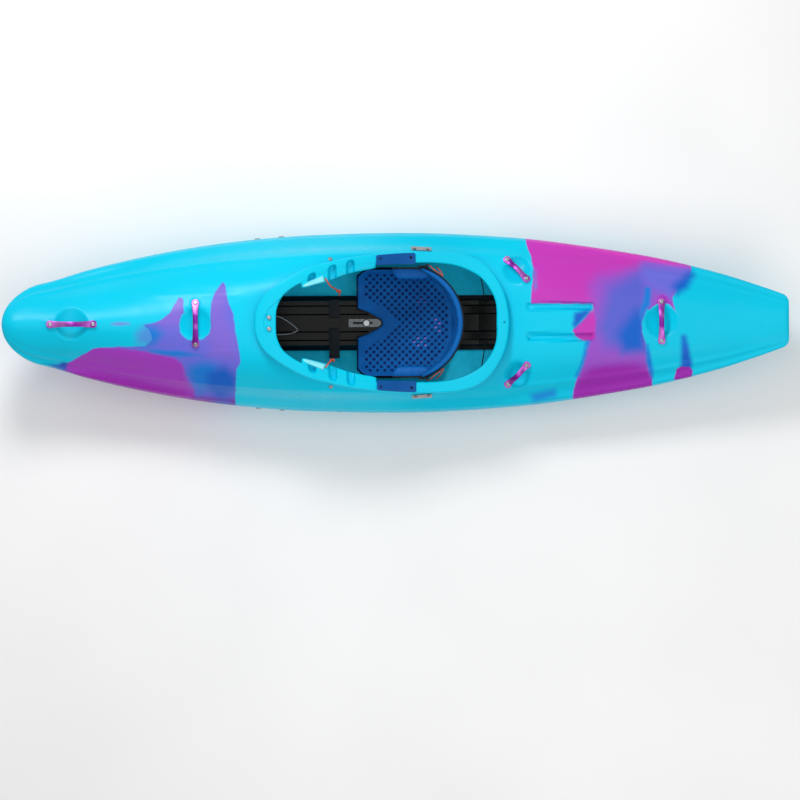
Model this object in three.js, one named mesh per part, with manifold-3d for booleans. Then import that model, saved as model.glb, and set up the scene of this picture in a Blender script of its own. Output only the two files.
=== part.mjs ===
// A whitewater kayak, built as an assembly: a rotomoulded hull with its cockpit rim, five grab handles,
// the seat with its backrest and hip pads on a sliding pan, thigh braces, footrest, centre beam and cords.
// Millimetres. +X runs to the stern, +Y to starboard, +Z up. The origin is under the middle of the hull,
// on the ground that the flat of the keel rests on.
import * as THREE from "three";
import { mergeVertices } from "three/addons/utils/BufferGeometryUtils.js";
import Module from "manifold-3d";

// Driving dimensions
const HULL_LENGTH = 2760;
const HALF_BEAM = 315;
const HULL_HEIGHT = 434;
const WALL = 6;
const CLEARANCE = 0.3;
const SLIDE_GAP = 1;
const OVERRUN = 40;
const COLLAPSED = 0.002;

// The hull that the places below were taken on, and how far a resized one is from it
const measured = { length: 2760, halfBeam: 315, height: 434 };
const LENGTH_RATIO = HULL_LENGTH / measured.length;
const BEAM_RATIO = HALF_BEAM / measured.halfBeam;
const HEIGHT_RATIO = HULL_HEIGHT / measured.height;

// Ends of the hull
const BOW_ROUND_LENGTH = 138;
const NOSE_ROUND_LENGTH = 50;
const NOSE_HEIGHT = 388 * HEIGHT_RATIO;
const STERN_CORNER_RADIUS = 22;
const STERN_EDGE_RADIUS = 10;
const INNER_BOW_X = -1330 * LENGTH_RATIO;
const INNER_STERN_X = 1200 * LENGTH_RATIO;

// Cockpit rim
const RIM_FRONT_X = -494 * LENGTH_RATIO;
const RIM_LENGTH = 893 * LENGTH_RATIO;
const RIM_HALF_WIDTH = 248 * BEAM_RATIO;
const RIM_LIP = 22;
const RIM_GROOVE = 16;
const RIM_EDGE_ROUND = 6;
const RIM_STALK = 24;
const RIM_SKIRT = 16;
const OPENING_FLOOR_Z = 150 * HEIGHT_RATIO;

// Handles
const HANDLE_THICKNESS = 6;
const HANDLE_END_WIDTH = 27;
const HANDLE_WAIST_WIDTH = 18;
const HANDLE_OVERHANG = 13;
const LONG_BOLT_SPACING = 150;
const SHORT_BOLT_SPACING = 94;
const SHORT_BOLT_REACH = SHORT_BOLT_SPACING * Math.SQRT1_2;
const LONG_RISE = 14;
const SHORT_RISE = 11;
const CROSS_STAND = 4;
const DIMPLE_RADIUS = 57;
const DIMPLE_DEPTH = 22;
const SHORT_DIMPLE_RADIUS = 49;
const SHORT_DIMPLE_DEPTH = 20;
const LAND_RADIUS = 16;
const LAND_DEPTH = 26;

// Fasteners
const BOLT_HEAD_RADIUS = 7.5;
const BOLT_HEAD_HEIGHT = 4;
const BOLT_RADIUS = 3;
const SIDE_BOLT_HEAD_RADIUS = 10;
const SCREW_HEAD_RADIUS = 5;
const SCREW_HEAD_HEIGHT = 2.4;
const SCREW_RADIUS = 2;

const LAND_STAND = 2.5;
const BOLT_GRIP = 20;
const BOW_HANDLE_X = -1210 * LENGTH_RATIO;
const FOREDECK_HANDLE_X = -701 * LENGTH_RATIO;
const FOREDECK_BOLT_SPACING = 143;
const REAR_HANDLE_X = 393 * LENGTH_RATIO;
const REAR_HANDLE_Y = 217 * BEAM_RATIO;
const STERN_HANDLE_X = 933 * LENGTH_RATIO;
const STERN_BOLT_SPACING = 135;
const handleSteps = 8;
const handleTipShare = 0.6;
const ballSides = 16;
const ballRings = 10;
const landSides = 8;
const pivotSides = 10;
const ADJUSTER_HEAD_RADIUS = 13;
const ADJUSTER_BOLT_RADIUS = 3.5;
const ADJUSTER_BOLT_GRIP = 14;
const ADJUSTER_BOLT_X = -103;
const SCREW_LENGTH = 12;
const RIM_BOLT_LENGTH = 14;
const RIM_BOLT_X = -443 * LENGTH_RATIO;
const RIM_BOLT_Y = 20;
const RIM_BOLT_STAND = 0.8;

// Deck channels
const CHANNEL_Y = 54;
const CHANNEL_WIDTH = 24;
const CHANNEL_FRONT_X = 459 * LENGTH_RATIO;
const CHANNEL_REAR_X = 693 * LENGTH_RATIO;
const CHANNEL_FRONT_DEPTH = 3;
const CHANNEL_REAR_DEPTH = 14;

// Centre beam and pillars
const TRAY_FRONT_X = -424 * LENGTH_RATIO;
const TRAY_LENGTH = 778 * LENGTH_RATIO;
const TRAY_HALF_WIDTH = 96;
const TRAY_BASE_Z = 34;
const TRAY_PLATEAU_Z = 46;
const TRAY_PLATEAU_HALF = 28;
const TRAY_RAIL_Z = 49;
const TRAY_RAIL_INNER = 58;
const TRAY_RAIL_OUTER = 82;
const TRAY_FILLET = 5;
const TRAY_LEAST = 6;
const TRAY_RAIL_LEAST = 8;
const trayStationShares = [0, 0.12, 0.3, 0.5, 0.65, 0.75, 0.84, 0.92, 1];
const PILLAR_HALF_WIDTH = 45;
const PILLAR_GAP = 0.6;
const FRONT_PILLAR_BOW_X = -1000 * LENGTH_RATIO;
const FRONT_PILLAR_STERN_X = -440 * LENGTH_RATIO;
const REAR_PILLAR_BOW_X = 410 * LENGTH_RATIO;
const REAR_PILLAR_STERN_X = 846 * LENGTH_RATIO;
const REAR_PILLAR_HALF_WIDTH = 38;

// Footrests
const SIDE_BOLT_Z = 130 * HEIGHT_RATIO;
const SIDE_BOLT_XS = [-483, -399].map((x) => x * LENGTH_RATIO);
const RAIL_SIDE_Y = 274 * BEAM_RATIO;
const RAIL_Y = 165 * BEAM_RATIO;
const RAIL_Z = 130 * HEIGHT_RATIO;
const RAIL_HEIGHT = 24;
const RAIL_THICKNESS = 3;
const SLOT_GAP = 0.4;
const RAIL_REAR_X = -385 * LENGTH_RATIO;
const RAIL_BEND_X = -497 * LENGTH_RATIO;
const RAIL_STRAIGHT_X = -590 * LENGTH_RATIO;
const RAIL_FRONT_X = -800 * LENGTH_RATIO;
const FOOTREST_X = -690 * LENGTH_RATIO;
const FOOTREST_THICKNESS = 14;
const FOOTREST_CHAMFER = 6;
const FOOTREST_INNER_Y = 60;
const FOOTREST_OUTER_Y = 174 * BEAM_RATIO;
const FOOTREST_BOTTOM_Z = 100 * HEIGHT_RATIO;
const FOOTREST_TOP_Z = 270 * HEIGHT_RATIO;

// Seat
const SEAT_FRONT_X = -137;
const SEAT_LENGTH = 344;
const SEAT_HALF_WIDTH = 194 * BEAM_RATIO;
const SEAT_FLAT_HALF = 110 * BEAM_RATIO;
const PLATE_THICKNESS = 3;
const SEAT_BOTTOM_Z = TRAY_PLATEAU_Z + PLATE_THICKNESS + 2 * CLEARANCE;
const SEAT_WING_RISE = 80 * HEIGHT_RATIO;
const SEAT_LIP_RISE = 14;
const SEAT_LIP_X = -60;
const SEAT_PAN_THICKNESS = 5;
const SEAT_PAD_THICKNESS = 14;
const SEAT_PAD_CROWN = 4;
const SEAT_PAD_INSET = 4;
const SEAT_NOTCH_DEPTH = 86;
const SEAT_NOTCH_HALF = 48;
const seatStationShares = [0, 0.04, 0.12, 0.25, 0.4, 0.55, 0.7, 0.82, 0.92, 1];
const seatAcrossShares = [-1, -0.9, -0.78, -0.64, -0.5, -0.25, 0, 0.25, 0.5, 0.64, 0.78, 0.9, 1];
const seatOutlineShares = [
  [0, 0.85],
  [0.05, 0.93],
  [0.15, 1],
  [0.5, 1],
  [0.66, 0.97],
  [0.76, 0.9],
  [0.85, 0.76],
  [0.93, 0.56],
  [1, 0.3],
];
const seatNotchShares = [
  [0, 1],
  [0.32, 1],
  [0.6, 0.72],
  [0.85, 0.36],
  [0.97, 0.18],
  [1, 0.06],
];
const FLANGE_Y = 194 * BEAM_RATIO;
const FLANGE_THICKNESS = 6;
const FLANGE_FRONT_X = -12;
const FLANGE_REAR_X = 118;
const FLANGE_TOP_Z = 234 * HEIGHT_RATIO;
const PIVOT_X = 96;
const PIVOT_Z = 200 * HEIGHT_RATIO;
const PIVOT_RADIUS = 6;

// Hip pads
const HIP_FRONT_X = -11;
const HIP_REAR_X = 116;
const HIP_THICKNESS = 32;
const HIP_EDGE = 12;
const HIP_DRAW = 8;
const HIP_BOTTOM_Z = 142 * HEIGHT_RATIO;
const HIP_TOP_Z = 230 * HEIGHT_RATIO;
const hipStationShares = [0, 0.1, 0.28, 0.5, 0.72, 0.9, 1];
const hipBevelShare = 0.22;

// Backrest
const BAND_CENTRE_X = 35;
const BAND_OUTER_RADIUS = 206 * BEAM_RATIO;
const BAND_LEAN = 18;
const BAND_SHELL_THICKNESS = 4;
const BAND_BOTTOM_Z = 244 * HEIGHT_RATIO;
const BAND_TOP_Z = 344 * HEIGHT_RATIO;
const BAND_WING_DROP = 44 * HEIGHT_RATIO;
const BAND_HALF_ANGLE = 1.28;
const bandShellSteps = 16;
const bandPadSteps = 14;
const BAND_STEP_ANGLE = (2 * BAND_HALF_ANGLE) / bandShellSteps;
const BAND_PAD_THICKNESS = 16;
const BAND_PAD_EDGE = 8;
const BAND_PAD_CROWN = 4;
const BAND_PAD_DRAW = 10;
const bandPadEdgeShare = 0.2;
const EAR_THICKNESS = 4;
const EAR_FRONT_X = 78;
const EAR_REAR_X = 114;
const EAR_BOTTOM_Z = 186 * HEIGHT_RATIO;
const EAR_TOP_Z = 296 * HEIGHT_RATIO;

// Adjuster
const PLATE_FRONT_X = -165;
const PLATE_REAR_X = -20;
const PLATE_HALF = 14;
const SLOT_FRONT_X = -150;
const SLOT_REAR_X = -81;
const SLOT_HALF = 4;

// Thigh braces
const BRACE_FRONT_X = -329 * LENGTH_RATIO;
const BRACE_LENGTH = 260 * LENGTH_RATIO;
const BRACE_LIP = 34;
const BRACE_DROP = 4;
const BRACE_ROUND = 5;
const BRACE_WEB = 9;
const BRACE_DEPTH = 100 * HEIGHT_RATIO;
const BRACE_BOLT_X = -228 * LENGTH_RATIO;
const BRACE_BOLT_Y = 222 * BEAM_RATIO;
const BRACE_TAB_HALF = 30;
const BRACE_TAB_Y = 229 * BEAM_RATIO;
const BRACE_TAB_GAP = 6;
const BRACE_TAB_THICKNESS = 6;
const BRACE_BOLT_LENGTH = 30;
const BRACE_RECESS_XS = [-293, -221, -157].map((x) => x * LENGTH_RATIO);
const BRACE_RECESS_RADIUS = 15;
const BRACE_RECESS_INSET = 12;
const recessSides = 8;
const recessRings = 6;
const braceStationShares = [0, 0.12, 0.25, 0.4, 0.55, 0.7, 0.85, 1];
const braceLipShares = [
  [0, 0.62],
  [0.3, 1],
  [0.6, 0.85],
  [1, 0.5],
];

// Cover plates
const COVER_STATION_XS = [-66, -40, 4, 40, 70].map((x) => x * LENGTH_RATIO);
const COVER_THICKNESS = 4;
const COVER_LIP = 14;

// Cleats and cords
const CLEAT_FRONT_X = -325 * LENGTH_RATIO;
const CLEAT_LENGTH = 76;
const CLEAT_FRONT_Y = 130 * BEAM_RATIO;
const CLEAT_REAR_Y = 156 * BEAM_RATIO;
const CLEAT_HALF = 12;
const CLEAT_LOW = 5;
const CLEAT_HIGH = 13;
const CLEAT_STAND = -0.4;
const cleatCrestShare = 0.55;
const cleatFrontShare = 0.6;
const cleatStationShares = [0, 0.5, 1];
const cordSides = 8;
const PULL_CORD_RADIUS = 2.5;
const PULL_CORD_STEPS = 10;
const KNOT_RADIUS = 8;
const pullCords = [
  {
    word: "starboard",
    route: [
      [-246, 156, 404],
      [-239, 146, 403],
      [-228, 130, 392],
      [-214, 121, 360],
      [-198, 110, 330],
      [-196, 96, 302],
    ],
    knot: [-199, 111, 331],
  },
  {
    word: "port",
    route: [
      [-246, -156, 404],
      [-239, -146, 403],
      [-228, -134, 394],
      [-222, -132, 368],
      [-220, -130, 344],
      [-220, -126, 318],
    ],
    knot: [-222, -131, 356],
  },
];
const THIN_CORD_RADIUS = 2;
const BACKREST_CORD_STEPS = 16;
const BUNGEE_STEPS = 10;
const FRONT_CORD_RADIUS = 1.6;
const FRONT_CORD_STEPS = 16;
const backrestCordRoute = [
  [106, 201.6, 250],
  [118, 201, 272],
  [130, 190, 298],
  [150, 174, 304],
  [166, 163, 302],
  [158, 180, 282],
  [142, 197.5, 256],
];
const bungeeRoute = [
  [300, 160, 224.2],
  [306, 128, 190],
  [312, 92, 120],
  [314, 70, 67],
];
const frontCordRoute = [
  [-438.4, 30, 316],
  [-398, 18, 286],
  [-352, -14, 262],
  [-344, -24, 258],
  [-360, -34, 264],
  [-400, -40, 290],
  [-438.4, -38, 314],
];

// Strap
const STRAP_X = -234 * LENGTH_RATIO;
const STRAP_WIDTH = 37;
const STRAP_THICKNESS = 2;
const STRAP_END_Y = 124 * BEAM_RATIO;
const BUCKLE_OVERHANG = 3;
const BUCKLE_Y = -16;
const BUCKLE_LENGTH = 34;
const BUCKLE_HEIGHT = 7;

// Hanger plates
const HANGER_X = 91 * LENGTH_RATIO;
const HANGER_Y = 256 * BEAM_RATIO;
const HANGER_STAND = 1.8;
const HANGER_LENGTH = 70;
const HANGER_WIDTH = 18;
const HANGER_THICKNESS = 3;
const HANGER_PITCH = 46;
const STUD_RADIUS = 2.5;
const STUD_LENGTH = 14;
const STUD_HEAD_RADIUS = 5.5;
const STUD_HEAD_HEIGHT = 4;

// The hull's stations: share of the length from the bow, share of the half beam, then as shares of the
// height the keel, the parting line, the crest above it, the deck edge and the deck's middle, and last
// the share of the fall from middle to deck edge that is reached at the shoulder.
const hullStationShares = [
  [0, 0.383, 0.806, 0.848, 0.887, 0.912, 0.947, 0.4],
  [0.0228, 0.406, 0.704, 0.749, 0.802, 0.848, 0.946, 0.4],
  [0.061, 0.474, 0.525, 0.611, 0.691, 0.76, 0.932, 0.4],
  [0.1117, 0.607, 0.34, 0.535, 0.604, 0.668, 0.914, 0.4],
  [0.184, 0.754, 0.177, 0.447, 0.523, 0.636, 0.893, 0.38],
  [0.2576, 0.867, 0.081, 0.357, 0.463, 0.659, 0.894, 0.32],
  [0.321, 0.933, 0.023, 0.327, 0.431, 0.687, 0.912, 0.2],
  [0.378, 0.972, -0.004, 0.316, 0.422, 0.733, 0.886, 0.12],
  [0.411, 0.984, -0.006, 0.311, 0.419, 0.742, 0.834, 0.12],
  [0.463, 0.997, -0.006, 0.306, 0.415, 0.691, 0.742, 0.12],
  [0.51, 1, -0.004, 0.304, 0.41, 0.608, 0.627, 0.15],
  [0.562, 0.989, 0.016, 0.306, 0.406, 0.539, 0.578, 0.2],
  [0.632, 0.952, 0.088, 0.318, 0.396, 0.515, 0.574, 0.25],
  [0.683, 0.911, 0.138, 0.336, 0.401, 0.495, 0.627, 0.22],
  [0.759, 0.817, 0.226, 0.371, 0.422, 0.5, 0.624, 0.2],
  [0.835, 0.7, 0.327, 0.408, 0.449, 0.509, 0.611, 0.22],
  [0.911, 0.533, 0.438, 0.479, 0.507, 0.544, 0.627, 0.3],
  [0.962, 0.389, 0.525, 0.553, 0.571, 0.594, 0.647, 0.3],
  [1, 0.272, 0.594, 0.608, 0.618, 0.629, 0.652, 0.3],
];
const BEAM = 1;
const KEEL = 2;
const PARTING = 3;
const CREST = 4;
const EDGE = 5;
const DECK = 6;
const SHOULDER = 7;
const crestBreadthShare = 0.965;
const hollowBreadthShare = 0.87;
const hollowHeightShare = 0.4;
const edgeBreadthShare = 0.76;
const shoulderBreadthShare = 0.6;
const bottomAngleShares = [0.3, 0.62];
const bottomSquareness = 2.8;

// The rim's outlines, front to rear on one side: inner along and across, outer along and across, as
// shares of the rim's length and half width.
const rimOutlineShares = [
  [0.084, 0, 0, 0],
  [0.088, 0.205, 0.006, 0.184],
  [0.11, 0.375, 0.038, 0.393],
  [0.141, 0.474, 0.104, 0.58],
  [0.184, 0.566, 0.195, 0.757],
  [0.275, 0.707, 0.285, 0.85],
  [0.373, 0.806, 0.38, 0.925],
  [0.478, 0.835, 0.478, 0.969],
  [0.608, 0.842, 0.608, 1],
  [0.725, 0.832, 0.725, 0.997],
  [0.792, 0.796, 0.8, 0.976],
  [0.847, 0.721, 0.863, 0.912],
  [0.89, 0.622, 0.914, 0.792],
  [0.924, 0.467, 0.961, 0.566],
  [0.944, 0.311, 0.986, 0.354],
  [0.95, 0.17, 0.996, 0.17],
  [0.95, 0, 1, 0],
];
// The rim's top: share of the rim's length from its front, share of the hull's height.
const rimTopShares = [
  [0, 0.988],
  [0.1, 0.996],
  [0.178, 0.975],
  [0.28, 0.919],
  [0.439, 0.831],
  [0.518, 0.774],
  [0.584, 0.719],
  [0.667, 0.683],
  [0.745, 0.668],
  [0.882, 0.664],
  [1, 0.66],
];

const paint = {
  hull: new THREE.MeshStandardMaterial({ color: "#00cfe8", roughness: 0.35, metalness: 0 }),
  handle: new THREE.MeshStandardMaterial({ color: "#b03cb0", roughness: 0.3, metalness: 0.9 }),
  steel: new THREE.MeshStandardMaterial({ color: "#c4c8ca", roughness: 0.3, metalness: 1 }),
  black: new THREE.MeshStandardMaterial({ color: "#1c1d1f", roughness: 0.6, metalness: 0 }),
  foam: new THREE.MeshStandardMaterial({ color: "#232426", roughness: 0.9, metalness: 0 }),
  blueFoam: new THREE.MeshStandardMaterial({ color: "#0a5ba8", roughness: 0.85, metalness: 0 }),
  bluePlate: new THREE.MeshStandardMaterial({ color: "#0a4c8c", roughness: 0.5, metalness: 0 }),
  cleat: new THREE.MeshStandardMaterial({ color: "#8ce8f2", roughness: 0.15, metalness: 0 }),
  orange: new THREE.MeshStandardMaterial({ color: "#e0512a", roughness: 0.8, metalness: 0 }),
  greyPlate: new THREE.MeshStandardMaterial({ color: "#6e7274", roughness: 0.4, metalness: 0.8 }),
};

const wasm = await Module();
wasm.setup();
const kayak = new THREE.Group();

function addPiece(name, geometry, material, parent = kayak) {
  const mesh = new THREE.Mesh(geometry, material);
  mesh.name = name;
  parent.add(mesh);
  return mesh;
}

// A closed geometry as a solid for joining and cutting.
function solidOf(geometry) {
  const bare = geometry.clone();
  bare.deleteAttribute("normal");
  bare.deleteAttribute("uv");
  const merged = mergeVertices(bare, COLLAPSED);
  return new wasm.Manifold(
    new wasm.Mesh({
      numProp: 3,
      vertProperties: new Float32Array(merged.attributes.position.array),
      triVerts: new Uint32Array(merged.index.array),
    }),
  );
}

function geometryOf(solid) {
  const mesh = solid.getMesh();
  const geometry = new THREE.BufferGeometry();
  geometry.setAttribute("position", new THREE.BufferAttribute(mesh.vertProperties, 3));
  geometry.setIndex(new THREE.BufferAttribute(mesh.triVerts, 1));
  geometry.computeVertexNormals();
  return geometry;
}

// The triangles that close a flat ring.
function capFaces(ring) {
  const normal = new THREE.Vector3();
  ring.forEach((p, i) => normal.add(p.clone().cross(ring[(i + 1) % ring.length])));
  const u = ring[1].clone().sub(ring[0]).normalize();
  const v = normal.normalize().cross(u);
  const flat = ring.map((p) => new THREE.Vector2(p.dot(u), p.dot(v)));
  return THREE.ShapeUtils.triangulateShape(flat, []);
}

// Joins rings of points of equal count into one closed skin. A ring that is to close on itself along the
// loft makes a hoop, otherwise both ends get a flat cap.
function loft(rings, hoop = false) {
  const count = rings[0].length;
  const positions = rings.flat().flatMap((p) => [p.x, p.y, p.z]);
  const faces = [];
  const spans = hoop ? rings.length : rings.length - 1;
  for (let i = 0; i < spans; i++) {
    const next = (i + 1) % rings.length;
    for (let j = 0; j < count; j++) {
      const side = (j + 1) % count;
      faces.push(i * count + j, i * count + side, next * count + j);
      faces.push(i * count + side, next * count + side, next * count + j);
    }
  }
  if (!hoop) {
    const last = (rings.length - 1) * count;
    capFaces(rings[0]).forEach(([a, b, c]) => faces.push(a, c, b));
    capFaces(rings[rings.length - 1]).forEach(([a, b, c]) => faces.push(last + a, last + b, last + c));
  }
  const geometry = new THREE.BufferGeometry();
  geometry.setAttribute("position", new THREE.Float32BufferAttribute(positions, 3));
  geometry.setIndex(faces);
  return outward(geometry);
}

// Turns the faces round where the signed volume shows that they point in.
function outward(geometry) {
  const p = geometry.attributes.position;
  const index = geometry.index.array;
  const [a, b, c] = [new THREE.Vector3(), new THREE.Vector3(), new THREE.Vector3()];
  let volume = 0;
  for (let i = 0; i < index.length; i += 3) {
    a.fromBufferAttribute(p, index[i]);
    b.fromBufferAttribute(p, index[i + 1]);
    c.fromBufferAttribute(p, index[i + 2]);
    volume += a.dot(b.cross(c));
  }
  if (volume < 0) {
    for (let i = 0; i < index.length; i += 3) {
      [index[i + 1], index[i + 2]] = [index[i + 2], index[i + 1]];
    }
  }
  geometry.computeVertexNormals();
  return geometry;
}

// A smooth value from a table: a cubic through the rows, whose slopes are those of the neighbours.
function valueAt(table, column, along) {
  const last = table.length - 1;
  let i = 0;
  while (i < last - 1 && table[i + 1][0] < along) i++;
  const slope = (k) => {
    const before = table[Math.max(k - 1, 0)];
    const after = table[Math.min(k + 1, last)];
    return (after[column] - before[column]) / (after[0] - before[0]);
  };
  const span = table[i + 1][0] - table[i][0];
  const t = Math.min(Math.max((along - table[i][0]) / span, 0), 1);
  const start = table[i][column];
  const end = table[i + 1][column];
  return (
    (2 * t ** 3 - 3 * t ** 2 + 1) * start +
    (t ** 3 - 2 * t ** 2 + t) * span * slope(i) +
    (3 * t ** 2 - 2 * t ** 3) * end +
    (t ** 3 - t ** 2) * span * slope(i + 1)
  );
}

// Hull surface
const BOW_X = -HULL_LENGTH / 2;
const STERN_X = HULL_LENGTH / 2;
const stepsPerSpan = 2;
const innerStepsPerSpan = 1;
const hullRingCount = 27;
const rimRingCount = 44;
const PARTING_SPAN = 3;
const CREST_SPAN = 4;
const DECK_SPAN = 8;
const noseBluntShare = 0.06;
const roundingStepShares = [0, 0.04, 0.16, 0.36, 0.64, 1];
const squarenessAt = (beamShare) => 2 + (bottomSquareness - 2) * beamShare;

// How far a round end of this length has opened at a distance from its tip.
function roundShare(distance, length) {
  const rest = Math.max(1 - distance / length, 0);
  return Math.sqrt(1 - rest ** 2);
}

function hullSizesAt(x) {
  const along = (x - BOW_X) / HULL_LENGTH;
  const at = (column) => valueAt(hullStationShares, column, along);
  const fromBow = x - BOW_X;
  const fromStern = STERN_X - x;
  const bow = Math.max(roundShare(fromBow, BOW_ROUND_LENGTH), noseBluntShare);
  const nose = Math.max(roundShare(fromBow, NOSE_ROUND_LENGTH), noseBluntShare);
  const corner = STERN_CORNER_RADIUS * (1 - roundShare(fromStern, STERN_CORNER_RADIUS));
  const sternEdge = STERN_EDGE_RADIUS * (1 - roundShare(fromStern, STERN_EDGE_RADIUS));
  const keel = at(KEEL) * HULL_HEIGHT;
  const deck = at(DECK) * HULL_HEIGHT;
  const middle = (keel + deck) / 2;
  const height = (column) => {
    const z = NOSE_HEIGHT + (at(column) * HULL_HEIGHT - NOSE_HEIGHT) * nose;
    return middle + (z - middle) * (1 - (2 * sternEdge) / (deck - keel));
  };
  return {
    beam: at(BEAM) * HALF_BEAM * bow - corner,
    squareness: squarenessAt(at(BEAM)),
    keel: height(KEEL),
    parting: height(PARTING),
    crest: height(CREST),
    edge: height(EDGE),
    deck: height(DECK),
    shoulder: at(SHOULDER),
  };
}

// The closed curve round the hull at one station, from the keel up the starboard side and down to port.
function sectionCurve(x) {
  const s = hullSizesAt(x);
  const bottom = bottomAngleShares.map((share) => {
    const angle = (share * Math.PI) / 2;
    const power = 2 / s.squareness;
    return [s.beam * Math.sin(angle) ** power, s.parting - (s.parting - s.keel) * Math.cos(angle) ** power];
  });
  const side = [
    ...bottom,
    [s.beam, s.parting],
    [s.beam * crestBreadthShare, s.crest],
    [s.beam * hollowBreadthShare, s.crest + (s.edge - s.crest) * hollowHeightShare],
    [s.beam * edgeBreadthShare, s.edge],
    [s.beam * edgeBreadthShare * shoulderBreadthShare, s.deck - (s.deck - s.edge) * s.shoulder],
  ];
  const points = [[0, s.keel], ...side, [0, s.deck], ...side.map(([y, z]) => [-y, z]).reverse()];
  return new THREE.CatmullRomCurve3(
    points.map(([y, z]) => new THREE.Vector3(x, y, z)),
    true,
    "centripetal",
  );
}

function sectionRing(x, inset, steps) {
  const curve = sectionCurve(x);
  const count = curve.points.length * steps;
  const ring = Array.from({ length: count }, (_, i) => curve.getPoint(i / count));
  return ring.map((p, i) => {
    const before = ring[(i + count - 1) % count];
    const after = ring[(i + 1) % count];
    const length = Math.hypot(after.y - before.y, after.z - before.z);
    const [ty, tz] = [(after.y - before.y) / length, (after.z - before.z) / length];
    return new THREE.Vector3(x, p.y - tz * inset, p.z + ty * inset);
  });
}

// The ring of the hull's faceted skin, or of its inside with an inset, at any place along it.
function skinRing(x, inset) {
  const next = Math.max(hullStations.findIndex((station) => station > x), 1);
  const [x0, x1] = [hullStations[next - 1], hullStations[next]];
  const steps = inset ? innerStepsPerSpan : stepsPerSpan;
  const [before, after] = [sectionRing(x0, inset, steps), sectionRing(x1, inset, steps)];
  return { ring: before.map((p, i) => p.clone().lerp(after[i], (x - x0) / (x1 - x0))), steps };
}

// Height of the deck's skin, or of its underside with an inset, at a place in plan.
function deckHeight(x, y, inset = 0) {
  const { ring, steps } = skinRing(x, inset);
  const half = ring.slice(CREST_SPAN * steps, DECK_SPAN * steps + 1);
  const away = Math.abs(y);
  const i = Math.max(half.findIndex((p) => p.y <= away), 1);
  const [outerPoint, innerPoint] = [half[i - 1], half[i]];
  const share = (outerPoint.y - away) / (outerPoint.y - innerPoint.y);
  return outerPoint.z + (innerPoint.z - outerPoint.z) * share;
}

// Height of the hull's floor inside at a place in plan.
function floorHeight(x, y) {
  const { ring, steps } = skinRing(x, WALL);
  const half = ring.slice(0, PARTING_SPAN * steps + 1);
  const away = Math.abs(y);
  const i = half.findIndex((p) => p.y >= away);
  const [innerPoint, outerPoint] = [half[i - 1] ?? half[0], half[i]];
  const width = outerPoint.y - innerPoint.y || 1;
  return innerPoint.z + ((outerPoint.z - innerPoint.z) * (away - innerPoint.y)) / width;
}

// Half breadth of the hull at a height below the crest, or of its inside with an inset.
function sideBreadth(x, z, inset) {
  const { ring, steps } = skinRing(x, inset);
  const half = ring.slice(0, CREST_SPAN * steps + 1);
  const i = Math.max(half.findIndex((p) => p.z >= z), 1);
  const [low, high] = [half[i - 1], half[i]];
  return low.y + ((high.y - low.y) * (z - low.z)) / (high.z - low.z);
}

const hullStations = [
  ...roundingStepShares.slice(0, -1).map((share) => BOW_X + share * BOW_ROUND_LENGTH),
  ...Array.from({ length: hullRingCount }, (_, i) => {
    const start = BOW_X + BOW_ROUND_LENGTH;
    const end = STERN_X - STERN_CORNER_RADIUS;
    return start + ((end - start) * i) / (hullRingCount - 1);
  }),
  ...roundingStepShares
    .slice(0, -1)
    .map((share) => STERN_X - share * STERN_CORNER_RADIUS)
    .reverse(),
];

function hullOutside() {
  return solidOf(loft(hullStations.map((x) => sectionRing(x, 0, stepsPerSpan))));
}

function hullInside(inset) {
  const between = hullStations.filter((x) => x > INNER_BOW_X && x < INNER_STERN_X);
  const stations = [INNER_BOW_X, ...between, INNER_STERN_X];
  return solidOf(loft(stations.map((x) => sectionRing(x, inset, innerStepsPerSpan))));
}

// Cockpit rim
const rimHeightAt = (x) => HULL_HEIGHT * valueAt(rimTopShares, 1, (x - RIM_FRONT_X) / RIM_LENGTH);

// The closed plan curve of the rim's inner or outer edge; the first column is the one along the hull.
function rimCurve(column) {
  const side = rimOutlineShares.map((row) => [
    RIM_FRONT_X + row[column] * RIM_LENGTH,
    row[column + 1] * RIM_HALF_WIDTH,
  ]);
  const port = side.slice(1, -1).map(([x, y]) => [x, -y]).reverse();
  return new THREE.CatmullRomCurve3(
    [...side, ...port].map(([x, y]) => new THREE.Vector3(x, y, 0)),
    true,
    "centripetal",
  );
}
const rimInnerCurve = rimCurve(0);
const rimOuterCurve = rimCurve(2);

// Both edges of the rim and the level unit vector from the inner to the outer one, all the way round.
function rimPlaces(count) {
  return Array.from({ length: count }, (_, i) => {
    const inner = rimInnerCurve.getPoint(i / count);
    const outer = rimOuterCurve.getPoint(i / count);
    inner.z = rimHeightAt(inner.x);
    outer.z = rimHeightAt(outer.x);
    const out = new THREE.Vector3(outer.x - inner.x, outer.y - inner.y, 0).normalize();
    return { inner, outer, out };
  });
}

const offsetBy = (point, direction, distance, rise) =>
  point.clone().addScaledVector(direction, distance).add(new THREE.Vector3(0, 0, rise));

function rimHoop(grow = 0) {
  const foot = RIM_LIP + RIM_STALK + RIM_SKIRT + grow;
  const under = -RIM_LIP - grow;
  const rings = rimPlaces(rimRingCount).map(({ inner, outer, out }) => [
    offsetBy(inner, out, -grow, grow),
    offsetBy(outer, out, grow - RIM_EDGE_ROUND, grow),
    offsetBy(outer, out, grow, grow - RIM_EDGE_ROUND),
    offsetBy(outer, out, grow, under + RIM_EDGE_ROUND),
    offsetBy(outer, out, grow - RIM_EDGE_ROUND, under),
    offsetBy(outer, out, grow - RIM_GROOVE, under),
    offsetBy(outer, out, grow - RIM_GROOVE, -foot),
    offsetBy(inner, out, -grow, -foot),
  ]);
  return solidOf(loft(rings, true));
}

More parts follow.
